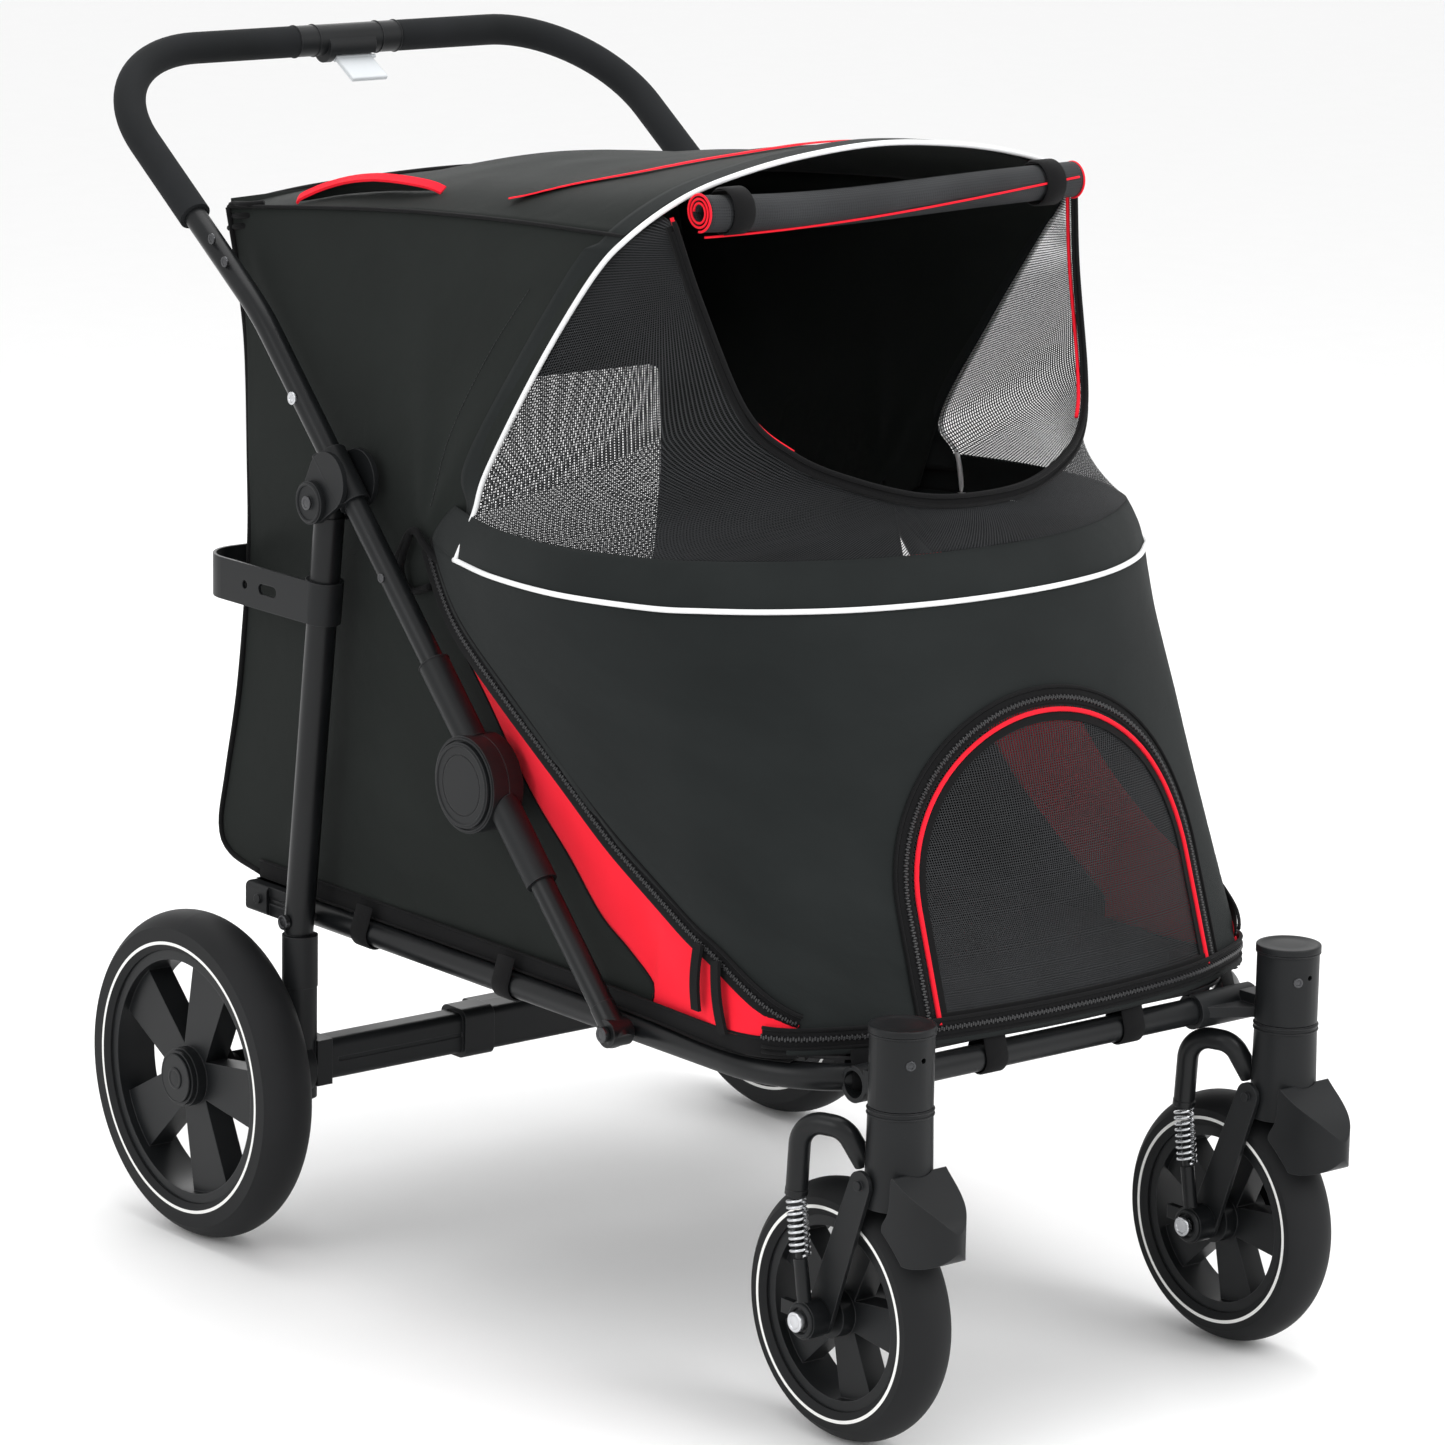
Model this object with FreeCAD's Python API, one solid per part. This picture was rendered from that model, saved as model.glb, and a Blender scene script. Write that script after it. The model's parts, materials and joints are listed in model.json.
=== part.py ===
import FreeCAD, Part
import math
import os

# Folding pet stroller. Millimetres, +Z up, ground at Z = 0, front towards -Y.
# The frame is symmetric about X = 0. Left is the -X side.

V = FreeCAD.Vector
X_AXIS = V(1, 0, 0)
Z_AXIS = V(0, 0, 1)
ORIGIN = V(0, 0, 0)

# ---- driving dimensions ----
REAR_WHEEL_R = 150.0
REAR_WHEEL_X = 339.0
REAR_AXLE_Y = 310.0
FRONT_WHEEL_R = 110.0
FRONT_WHEEL_X = 215.5
FRONT_AXLE_Y = -453.0
TYRE_HALF_WIDTH = 26.0
AXLE_R = 6.0
RUNNING_GAP = 0.05

CASTER_AXIS_Y = -510.0
POST_R = 26.7
POST_TOP_Z = 360.6
SWIVEL_Z = 298.0
HOUSING_BOTTOM_Z = 214.0
SPINDLE_R = 8.0

TUBE_WALL = 1.5
BASE_Z = 303.0
BASE_HALF_WIDTH = 260.5
BASE_TUBE_R = 11.5
BASE_REAR_Y = 322.0
BASE_FRONT_Y = -458.0
BASE_CORNER_R = 110.0

SIDE_X = 288.0
SIDE_TUBE_R = 10.5
LEG_TUBE_R = 13.5
STRUT_PIVOT = V(0, -230, 305)
SIDE_ANGLE = math.radians(46.0)
FOLD_ALONG = 260.0
FOLD_OFFSET = 15.8
CLAMP_ALONG = 564.0
CLAMP_OFFSET = 28.0
BEND_ALONG = 747.0
LEG_PIVOT = V(0, 229, BASE_Z)

HANDLE_BAR = V(0, 570.9, 1043.0)
HANDLE_CORNER_R = 120.0
HUB_HALF = 59.0
GRIP_R = 14.7
GRIP_START = 127.0

CABIN_HALF = 255.0
CLOTH = 3.0
HEM_Z = 322.0
BELT_Z = 664.0
BAND_TOP_Z = 705.0
KNEE_Z = 500.0
TIP_Z = 590.0
FLOOR_Z = 316.0


# ---- geometry helpers ----
def at(x, yz):
    return V(x, yz.y, yz.z)


def unit(angle):
    return V(0, math.cos(angle), math.sin(angle))


ALONG = unit(SIDE_ANGLE)
ACROSS = unit(SIDE_ANGLE - math.pi / 2)


def side_point(along, across=0.0):
    return STRUT_PIVOT + ALONG * along + ACROSS * across


FOLD_PIVOT = side_point(FOLD_ALONG, FOLD_OFFSET)
CLAMP_PIVOT = side_point(CLAMP_ALONG, CLAMP_OFFSET)
BEND_POINT = side_point(BEND_ALONG)
LEG_AXIS = (CLAMP_PIVOT - LEG_PIVOT).normalize()


def rod(start, end, radius):
    step = end - start
    return Part.makeCylinder(radius, step.Length, start, step)


def cross_rod(x0, x1, yz, radius):
    return rod(at(min(x0, x1), yz), at(max(x0, x1), yz), radius)


def block(x0, x1, y0, y1, z0, z1):
    return Part.makeBox(x1 - x0, y1 - y0, z1 - z0, V(x0, y0, z0))


def mirrored(shape):
    return shape.mirror(ORIGIN, X_AXIS)


def pair(shape):
    return [shape, mirrored(shape)]


def fused(shapes):
    return shapes[0].multiFuse(shapes[1:]).removeSplitter()


def corner_path(points, radii):
    """Straight runs joined by tangent arcs at the inner points."""
    edges = []
    start = points[0]
    for i in range(1, len(points) - 1):
        before = (points[i - 1] - points[i]).normalize()
        after = (points[i + 1] - points[i]).normalize()
        half = before.getAngle(after) / 2
        reach = radii[i - 1] / math.tan(half)
        a = points[i] + before * reach
        b = points[i] + after * reach
        bisector = (before + after).normalize()
        middle = points[i] + bisector * (radii[i - 1] / math.sin(half) - radii[i - 1])
        edges.append(Part.LineSegment(start, a).toShape())
        edges.append(Part.Arc(a, middle, b).toShape())
        start = b
    edges.append(Part.LineSegment(start, points[-1]).toShape())
    return Part.Wire(edges)


def swept(path, radius):
    first = path.Edges[0]
    start = first.Vertexes[0].Point
    heading = first.tangentAt(first.FirstParameter)
    profile = Part.Wire([Part.makeCircle(radius, start, heading)])
    return path.makePipeShell([profile], True, True)


def bent_tube(points, radii, radius, wall=TUBE_WALL):
    path = corner_path(points, radii)
    return swept(path, radius).cut(swept(path, radius - wall))


def straight_tube(start, end, radius, wall=TUBE_WALL):
    return rod(start, end, radius).cut(rod(start, end, radius - wall))


def side_plate(points, x0, x1):
    """A flat plate in the YZ plane, from (y, z) corners, between two X values."""
    corners = [V(x0, y, z) for y, z in points]
    face = Part.Face(Part.makePolygon(corners + corners[:1]))
    return face.extrude(V(x1 - x0, 0, 0))


def smooth_side_plate(points, x0, x1):
    """A plate in the YZ plane with one smooth closed edge through the (y, z) points."""
    edge = Part.BSplineCurve()
    edge.interpolate(Points=[V(x0, y, z) for y, z in points], PeriodicFlag=True)
    return Part.Face(Part.Wire([edge.toShape()])).extrude(V(x1 - x0, 0, 0))


def front_plate(points, y0, y1):
    """A flat plate in the XZ plane, from (x, z) corners, between two Y values."""
    corners = [V(x, y0, z) for x, z in points]
    face = Part.Face(Part.makePolygon(corners + corners[:1]))
    return face.extrude(V(0, y1 - y0, 0))


def link_plate(start, end, r0, r1, x0, x1):
    """A plate whose outline wraps one round end to the other, lying in YZ."""
    step = end - start
    lean = math.acos((r0 - r1) / step.Length)
    heading = math.atan2(step.z, step.y)
    up = unit(heading + lean)
    down = unit(heading - lean)
    back = unit(heading + math.pi)
    front = unit(heading)
    a, b = at(x0, start + up * r0), at(x0, end + up * r1)
    c, d = at(x0, end + down * r1), at(x0, start + down * r0)
    outline = Part.Wire([
        Part.LineSegment(a, b).toShape(),
        Part.Arc(b, at(x0, end + front * r1), c).toShape(),
        Part.LineSegment(c, d).toShape(),
        Part.Arc(d, at(x0, start + back * r0), a).toShape(),
    ])
    return Part.Face(outline).extrude(V(x1 - x0, 0, 0))


def plan_curve(half_points, z, inset=0.0):
    """A smooth U in plan, from its points on the +X side out to X = 0."""
    right = [V(x, y, z) for x, y in half_points]
    left = [V(-p.x, p.y, z) for p in reversed(right[:-1])]
    points = right + left
    moved = []
    for i, p in enumerate(points):
        before = points[max(i - 1, 0)]
        after = points[min(i + 1, len(points) - 1)]
        run = (after - before).normalize()
        moved.append(p + V(run.y, -run.x, 0) * -inset)
    curve = Part.BSplineCurve()
    curve.interpolate(moved)
    return curve.toShape(), moved[0], moved[-1]


def cloth_ring(half_points, z, thickness=CLOTH):
    outer, a, b = plan_curve(half_points, z)
    inner, c, d = plan_curve(half_points, z, thickness)
    return Part.Wire([
        outer,
        Part.LineSegment(b, d).toShape(),
        inner,
        Part.LineSegment(c, a).toShape(),
    ])


def cloth_wall(*levels):
    """A thin standing wall through (plan points, height) levels, bottom first."""
    rings = [cloth_ring(points, z) for points, z in levels]
    return Part.makeLoft(rings, True, True)


def save(name, shapes):
    shapes = shapes if isinstance(shapes, list) else [shapes]
    solids = [s for shape in shapes for s in shape.Solids]
    bad = [s for s in solids if not s.isValid()]
    whole = solids[0] if len(solids) == 1 else Part.makeCompound(solids)
    whole.exportStep(os.path.join("parts", name + ".step"))
    if bad or not solids:
        print("CHECK", name, len(solids), "solids,", len(bad), "not valid")


# ---- wheels ----
def tyre(wheel_r, half_width, rim_r, centre_x, axle):
    """A rounded tread on flat side walls, turned about the axle."""
    shoulder = wheel_r - 13
    bead = half_width - 4
    profile = Part.Wire([
        Part.LineSegment(V(-bead, 0, rim_r), V(bead, 0, rim_r)).toShape(),
        Part.LineSegment(V(bead, 0, rim_r), V(half_width, 0, rim_r + 5)).toShape(),
        Part.LineSegment(V(half_width, 0, rim_r + 5), V(half_width, 0, shoulder)).toShape(),
        Part.Arc(V(half_width, 0, shoulder), V(0, 0, wheel_r), V(-half_width, 0, shoulder)).toShape(),
        Part.LineSegment(V(-half_width, 0, shoulder), V(-half_width, 0, rim_r + 5)).toShape(),
        Part.LineSegment(V(-half_width, 0, rim_r + 5), V(-bead, 0, rim_r)).toShape(),
    ])
    ring = Part.Face(profile).revolve(ORIGIN, X_AXIS, 360)
    ring.translate(at(centre_x, axle))
    return ring


def rim(rim_r, half_width, hub_r, hub_half, centre_x, axle):
    """Five wide tapered spokes between a hub barrel and the rim ring."""
    hub = cross_rod(-hub_half, hub_half, ORIGIN, hub_r)
    ring = cross_rod(-half_width, half_width, ORIGIN, rim_r)
    ring = ring.cut(cross_rod(-half_width, half_width, ORIGIN, rim_r - 9))
    spokes = []
    spoke_half = half_width - 8
    for i in range(5):
        root, tip = hub_r * 0.62, rim_r * 0.25
        outline = [(-root, hub_r - 8), (-tip, rim_r - 4), (tip, rim_r - 4), (root, hub_r - 8)]
        spoke = side_plate(outline, -spoke_half, spoke_half)
        spoke.rotate(ORIGIN, X_AXIS, 90 + 72 * i)
        spokes.append(spoke)
    wheel = fused([hub, ring] + spokes)
    wheel = wheel.cut(cross_rod(-hub_half, hub_half, ORIGIN, AXLE_R + RUNNING_GAP))
    wheel.translate(at(centre_x, axle))
    return wheel


def rear_wheel(name, side):
    axle = V(0, REAR_AXLE_Y, REAR_WHEEL_R)
    centre = side * REAR_WHEEL_X
    rim_r = REAR_WHEEL_R - 34
    save("rear_tyre_" + name, tyre(REAR_WHEEL_R, TYRE_HALF_WIDTH, rim_r, centre, axle))
    save("rear_rim_" + name, rim(rim_r, 20, 27, 22, centre, axle))
    cap = cross_rod(centre + side * 22.2, centre + side * 26.5, axle, 25)
    dome = cross_rod(centre + side * 26.5, centre + side * 28.5, axle, 21)
    save("rear_hub_cap_" + name, fused([cap, dome]))


def front_wheel(name, side):
    axle = V(0, FRONT_AXLE_Y, FRONT_WHEEL_R)
    centre = side * FRONT_WHEEL_X
    rim_r = FRONT_WHEEL_R - 28
    save("front_tyre_" + name, tyre(FRONT_WHEEL_R, TYRE_HALF_WIDTH - 1, rim_r, centre, axle))
    save("front_rim_" + name, rim(rim_r, 19, 20, 24, centre, axle))


# ---- front casters ----
ARM_PIVOT = V(0, -500, 233)
ARM_INNER = 29.5
ARM_THICK = 4.0
SPRING_OFFSET = 46.5
SPRING_TOP = V(0, -438, 218)
SPRING_END = V(0, -444.8, 160)
FAIRING_TIP_Y = -585.6


def wheel_clearance(centre_x):
    """Room for the tyre at rest and with the arm pushed up."""
    axle = V(0, FRONT_AXLE_Y, FRONT_WHEEL_R)
    pushed = V(0, FRONT_AXLE_Y + 17, FRONT_WHEEL_R + 8)
    reach = FRONT_WHEEL_R + 4
    spots = [cross_rod(centre_x - 70, centre_x + 70, spot, reach) for spot in (axle, pushed)]
    return fused(spots)


def caster(name, side):
    centre = side * (FRONT_WHEEL_X + 0.5)
    axis = V(centre, CASTER_AXIS_Y, 0)
    axle = V(0, FRONT_AXLE_Y, FRONT_WHEEL_R)
    room = wheel_clearance(centre)
    arm_pin_room = cross_rod(centre - 40, centre + 40, ARM_PIVOT, 4 + RUNNING_GAP)

    tall = SWIVEL_Z - 0.8 - HOUSING_BOTTOM_Z
    barrel = Part.makeCone(POST_R + 1.6, POST_R, tall, axis + Z_AXIS * HOUSING_BOTTOM_Z)
    spindle = Part.makeCylinder(SPINDLE_R, 46, axis + Z_AXIS * (SWIVEL_Z - 3))
    housing = fused([barrel, spindle]).cut(room).cut(arm_pin_room)

    visor_outline = [
        (-536, 246), (-562, 230), (FAIRING_TIP_Y - 0.6, 206), (-584, 188),
        (-564, 177), (-540, 178), (-524, 205), (-530, 216),
    ]
    visor = smooth_side_plate(visor_outline, centre - 30, centre + 30)
    plan = Part.Ellipse(V(0, 0, 0), 68, 29.5)
    oval = Part.Face(Part.Wire([plan.toShape()])).extrude(V(0, 0, 120))
    oval.rotate(ORIGIN, Z_AXIS, 90)
    oval.translate(V(centre, FAIRING_TIP_Y + 68, 150))
    visor = visor.common(oval).cut(room)
    visor = visor.cut(Part.makeCylinder(POST_R + 1.6, 200, axis + Z_AXIS * 120))
    save("caster_housing_" + name, housing)
    save("caster_fairing_" + name, visor)

    spring_x = centre - SPRING_OFFSET
    neck = [
        V(centre - 16, -486, 246), V(centre - 32, -479, 276), V(spring_x, -442, 277),
        at(spring_x, SPRING_TOP),
    ]
    goose = swept(corner_path(neck, [16, 22]), 9.2)
    collar = rod(at(spring_x, SPRING_TOP), at(spring_x, SPRING_TOP) + V(0, 0.6, -5), 9.6)
    goose = fused([goose, collar]).cut(Part.makeCylinder(POST_R + 1.2, 90, axis + Z_AXIS * 214))
    save("gooseneck_" + name, goose)

    arms = []
    for x0 in (centre - ARM_INNER - ARM_THICK, centre + ARM_INNER):
        arms.append(link_plate(ARM_PIVOT, axle, 12, 15.5, x0, x0 + ARM_THICK))
    pin = cross_rod(centre - ARM_INNER - 7, centre + ARM_INNER + 7, ARM_PIVOT, 4)
    fork = fused(arms + [pin])
    fork = fork.cut(cross_rod(centre - 60, centre + 60, axle, AXLE_R))
    save("swing_fork_" + name, fork)

    bolt = cross_rod(spring_x - 7, centre + 38, axle, AXLE_R)
    nut = cross_rod(centre + 33.6, centre + 40, axle, 9)
    head = cross_rod(spring_x - 9, spring_x - 5, axle, 8)
    save("front_axle_bolt_" + name, fused([bolt, nut, head]))

    eye = cross_rod(spring_x - 4.8, centre - 33.8, axle, 16)
    stem = rod(at(spring_x, axle), at(spring_x, SPRING_END), 6)
    tip = rod(at(spring_x, SPRING_END), at(spring_x, SPRING_END) + V(0, 4.6, 39), 4)
    lever = block(spring_x - 4, spring_x + 2, FRONT_AXLE_Y + 10, FRONT_AXLE_Y + 27, 110, 122)
    shock = fused([eye, stem, tip, lever])
    shock = shock.cut(cross_rod(spring_x - 7, centre - 33, axle, AXLE_R))
    shock = shock.cut(cross_rod(spring_x - 10, spring_x - 4.8, axle, 8.2))
    save("spring_rod_" + name, shock)

    top = at(spring_x, SPRING_TOP) + V(0, 0.6, -5)
    bottom = at(spring_x, SPRING_END)
    run = bottom - top
    helix = Part.makeHelix(run.Length / 10.5, run.Length - 6, 7.6)
    wire_section = Part.Wire([Part.makeCircle(1.3, V(7.6, 0, 0), V(0, 1, 0))])
    coil = Part.Wire(helix).makePipeShell([wire_section], True, True)
    coil.translate(V(0, 0, 3))
    coil.rotate(ORIGIN, X_AXIS, 180 + math.degrees(math.atan2(run.y, -run.z)))
    coil.translate(top)
    save("coil_spring_" + name, coil)


def caster_heads():
    """The fixed upper half of each caster post, bored for the spindle."""
    centre = FRONT_WHEEL_X + 0.5
    axis = V(centre, CASTER_AXIS_Y, 0)
    head = Part.makeCylinder(POST_R, POST_TOP_Z - 3 - SWIVEL_Z, axis + Z_AXIS * SWIVEL_Z)
    groove = Part.makeCylinder(POST_R - 1.2, 3, axis + Z_AXIS * (POST_TOP_Z - 3))
    cap = Part.makeCone(POST_R + 0.6, POST_R - 0.8, 2.2, axis + Z_AXIS * (POST_TOP_Z - 2.2))
    bore = Part.makeCylinder(SPINDLE_R + RUNNING_GAP, 48, axis + Z_AXIS * (SWIVEL_Z - 1))
    rivet_hole = Part.makeCylinder(2.4, 6, V(centre, CASTER_AXIS_Y - POST_R, 340), V(0, 1, 0))
    head = fused([head, groove, cap]).cut(bore).cut(rivet_hole)
    save("caster_heads", pair(head))

    inner = centre - 62
    sleeve = cross_rod(inner, centre + 6, V(0, BASE_FRONT_Y, BASE_Z), BASE_TUBE_R + 4)
    sleeve = sleeve.cut(cross_rod(inner, centre + 6, V(0, BASE_FRONT_Y, BASE_Z), BASE_TUBE_R))
    shelf = block(centre - 17, centre + 6, -500, BASE_FRONT_Y - 12, 299, 318)
    gusset = Part.Face(Part.makePolygon([
        V(inner + 4, BASE_FRONT_Y - 13, 300), V(centre - 16, -498, 300),
        V(centre - 16, BASE_FRONT_Y - 13, 300), V(inner + 4, BASE_FRONT_Y - 13, 300),
    ])).extrude(V(0, 0, 9))
    bracket = fused([sleeve, shelf, gusset])
    bracket = bracket.cut(Part.makeCylinder(POST_R, 80, axis + Z_AXIS * 290))
    bracket = bracket.cut(block(inner - 1, centre + 10, -456, -430, FLOOR_Z - 0.2, FLOOR_Z + 10))
    save("head_brackets", pair(bracket.cut(base_tube_outer())))


# ---- base frame ----
def base_path():
    half = BASE_HALF_WIDTH
    return corner_path(
        [
            V(-half, BASE_REAR_Y, BASE_Z), V(-half, BASE_FRONT_Y, BASE_Z),
            V(half, BASE_FRONT_Y, BASE_Z), V(half, BASE_REAR_Y, BASE_Z),
        ],
        [BASE_CORNER_R, BASE_CORNER_R],
    )


def base_tube_outer():
    return swept(base_path(), BASE_TUBE_R)


def base_frame():
    tube = base_tube_outer().cut(swept(base_path(), BASE_TUBE_R - TUBE_WALL))
    pivots = [(LEG_PIVOT, 4.0), (STRUT_PIVOT, 4.0)]
    for spot, radius in pivots:
        tube = tube.cut(cross_rod(-300, -240, spot, radius))
        tube = tube.cut(cross_rod(240, 300, spot, radius))
    save("base_frame", tube)

    bars = []
    for y in (-190.0, 40.0, 285.0):
        bar = straight_tube(V(-255, y, BASE_Z), V(255, y, BASE_Z), 8)
        bars.append(bar.cut(base_tube_outer()))
    save("floor_crossbars", bars)

    outer = block(-BASE_HALF_WIDTH - 15, -BASE_HALF_WIDTH + 15, 262, 332, BASE_Z - 14, BASE_Z + 13)
    outer = outer.makeFillet(5, [e for e in outer.Edges if e.Length > 60])
    outer = outer.cut(base_tube_outer()).cut(block(-254, -240, 262, 300, 290, 320))
    leg_room = block(-280, -BASE_HALF_WIDTH - 11.3, 200, 299, 280, 330)
    screw = Part.makeCylinder(4.5, 2, V(-BASE_HALF_WIDTH - 17, 312, BASE_Z), X_AXIS)
    save("rear_corner_brackets", pair(fused([outer.cut(leg_room), screw])))

    bolts = []
    for spot, reach in ((LEG_PIVOT, SIDE_X + LEG_TUBE_R), (STRUT_PIVOT, SIDE_X + SIDE_TUBE_R)):
        shank = cross_rod(-reach - 0.6, -BASE_HALF_WIDTH + 14, spot, 4)
        head = cross_rod(-reach - 3.6, -reach - 0.6, spot, 6.5)
        tail = cross_rod(-BASE_HALF_WIDTH + 12, -BASE_HALF_WIDTH + 17, spot, 7)
        bolts += pair(fused([shank, head, tail]))
    save("frame_pivot_bolts", bolts)


# ---- rear legs, beam and band ----
SOCKET_TOP_Z = 290.0
SOCKET_BOTTOM_Z = 140.0
SOCKET_Y = 228.0
BEAM_Z = 172.0
BAND_LOW_Z = 581.0
BAND_HIGH_Z = 619.0


def leg_point(z):
    return LEG_PIVOT + LEG_AXIS * ((z - LEG_PIVOT.z) / LEG_AXIS.z)


def rear_legs():
    x = -SIDE_X
    top = at(x, CLAMP_PIVOT - LEG_AXIS * 14)
    tube = straight_tube(at(x, leg_point(SOCKET_TOP_Z + 2.5)), top, LEG_TUBE_R)
    tube = tube.cut(cross_rod(x - 20, x + 20, LEG_PIVOT, 4 + RUNNING_GAP))
    plug = rod(at(x, CLAMP_PIVOT - LEG_AXIS * 34), at(x, CLAMP_PIVOT - LEG_AXIS * 6), 12)
    eye = cross_rod(x - 13, x + 13, CLAMP_PIVOT, 11.5)
    save("leg_tubes", pair(fused([tube, plug, eye])))

    low = V(x, SOCKET_Y, SOCKET_BOTTOM_Z)
    socket = Part.makeCylinder(15.5, SOCKET_TOP_Z - SOCKET_BOTTOM_Z, low)
    ring = Part.makeCylinder(16.2, 47, V(x, SOCKET_Y, SOCKET_TOP_Z - 47))
    spigot = rod(at(x, leg_point(SOCKET_TOP_Z - 5)), at(x, leg_point(SOCKET_TOP_Z + 7)), 11.9)
    axle = V(0, REAR_AXLE_Y, REAR_WHEEL_R)
    arm = link_plate(V(0, SOCKET_Y, 168), axle, 24, 14.5, x - 14.6, x + 3)
    boss = cross_rod(x - 21, x - 14, axle, 13)
    beam_end = block(x + 8, x + 24, SOCKET_Y - 17, SOCKET_Y + 17, BEAM_Z - 21, BEAM_Z + 21)
    rail_room = block(x + 15.7, x + 20, SOCKET_Y - 20, SOCKET_Y + 20, 205, SOCKET_TOP_Z + 2)
    housing = fused([socket, ring, arm, boss, beam_end]).cut(rail_room)
    housing = fused([housing, spigot])
    housing = housing.cut(cross_rod(x - 30, x + 10, axle, AXLE_R))
    save("leg_housings", pair(housing))

    shaft = cross_rod(-REAR_WHEEL_X - 22, x + 3, axle, AXLE_R)
    save("rear_axle_stubs", pair(shaft))

    inner, outer_x = -84.0, x + 24
    beam = block(outer_x, inner, SOCKET_Y - 15, SOCKET_Y + 15, BEAM_Z - 19, BEAM_Z + 19)
    beam = beam.makeFillet(8, [e for e in beam.Edges if e.Length > 100])
    groove = block(outer_x + 8, inner - 34, SOCKET_Y - 16, SOCKET_Y - 14, BEAM_Z - 2, BEAM_Z + 2)
    collar = block(inner - 33, inner, SOCKET_Y - 19, SOCKET_Y + 19, BEAM_Z - 23, BEAM_Z + 23)
    collar = collar.makeFillet(9, [e for e in collar.Edges if abs(e.Length - 33) < 0.1])
    save("rear_beams", pair(fused([beam.cut(groove), collar])))
    hub = block(inner + 0.2, -inner - 0.2, SOCKET_Y - 16, SOCKET_Y + 18, BEAM_Z - 20, BEAM_Z + 20)
    hub = hub.makeFillet(7, [e for e in hub.Edges if e.Length > 100])
    ears = [block(s - 3, s + 3, SOCKET_Y + 10, SOCKET_Y + 42, BEAM_Z - 14, BEAM_Z + 6) for s in (-50, 50)]
    hub = fused([hub] + ears).cut(cross_rod(-60, 60, PEDAL_PIVOT, 4.0))
    save("beam_bracket", hub)

    outer = block(-305, 305, 150, 368, BAND_LOW_Z, BAND_HIGH_Z)
    outer = outer.makeFillet(40, [e for e in outer.Edges if e.Vertexes[0].Y > 300 and e.Length < 40])
    inner_room = block(-302, 302, 140, 365, BAND_LOW_Z - 1, BAND_HIGH_Z + 1)
    inner_room = inner_room.makeFillet(
        37, [e for e in inner_room.Edges if e.Vertexes[0].Y > 300 and e.Length < 42]
    )
    band = outer.cut(inner_room).cut(block(-235, 235, 300, 400, BAND_LOW_Z - 5, BAND_HIGH_Z + 5))
    band = band.cut(block(-310, 310, 100, leg_point(600).y, 500, 700))
    clamp = rod(at(x, leg_point(BAND_LOW_Z)), at(x, leg_point(BAND_HIGH_Z)), LEG_TUBE_R + 3.5)
    leg_core = rod(at(x, leg_point(500)), at(x, leg_point(680)), LEG_TUBE_R)
    band = fused([band, clamp.cut(leg_core), mirrored(clamp.cut(leg_core))])
    slot = link_plate(V(0, 246, 600), V(0, 264, 600), 5, 4.9, -320, 320)
    eyelet = cross_rod(-320, 320, V(0, 290, 600), 4)
    save("brace_band", band.cut(slot).cut(eyelet))


# ---- brake pedal ----
PEDAL_PIVOT = V(0, 262, 168)


def brake_pedal():
    shaft = cross_rod(-58, 58, PEDAL_PIVOT, 4 - RUNNING_GAP)
    arm = block(-46, 46, 256, 276, 163, 173)
    pad = Part.makeBox(84, 46, 7, V(-42, 272, 164))
    pad = pad.makeFillet(3, [e for e in pad.Edges if e.Length > 6.5])
    save("brake_pedal", fused([shaft, arm, pad]))


# ---- struts, fold joints and side tubes ----
DISC_R = 42.0
SLEEVE_R = 13.8


def struts():
    x = -SIDE_X
    tube = straight_tube(at(x, side_point(4)), at(x, side_point(FOLD_ALONG - 60)), SIDE_TUBE_R)
    tube = tube.cut(cross_rod(x - 20, x + 20, STRUT_PIVOT, 12))
    end = rod(at(x, side_point(-9)), at(x, side_point(26)), SIDE_TUBE_R + 0.6)
    spacer = cross_rod(x + 10, x + 14.2, STRUT_PIVOT, 8)
    strut = fused([tube, end, cross_rod(x - 10.5, x + 10.5, STRUT_PIVOT, 12), spacer])
    save("strut_tubes", pair(strut.cut(cross_rod(x - 20, x + 20, STRUT_PIVOT, 4 + RUNNING_GAP))))

    sleeve_low = FOLD_ALONG - 112
    sleeve = rod(at(x, side_point(sleeve_low)), at(x, side_point(FOLD_ALONG - 30)), SLEEVE_R)
    core = rod(at(x, side_point(sleeve_low - 10)), at(x, side_point(FOLD_ALONG - 60)), SIDE_TUBE_R)
    disc = cross_rod(x + 0.3, x + 15, FOLD_PIVOT, DISC_R)
    upper_room = cross_rod(x - 17, x + 0.3, FOLD_PIVOT, DISC_R + 0.6)
    body = fused([sleeve, disc]).cut(upper_room).cut(core)
    pin = cross_rod(x - 13, x + 15, FOLD_PIVOT, 6)
    save("fold_joint_lower", pair(fused([body, pin])))


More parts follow.
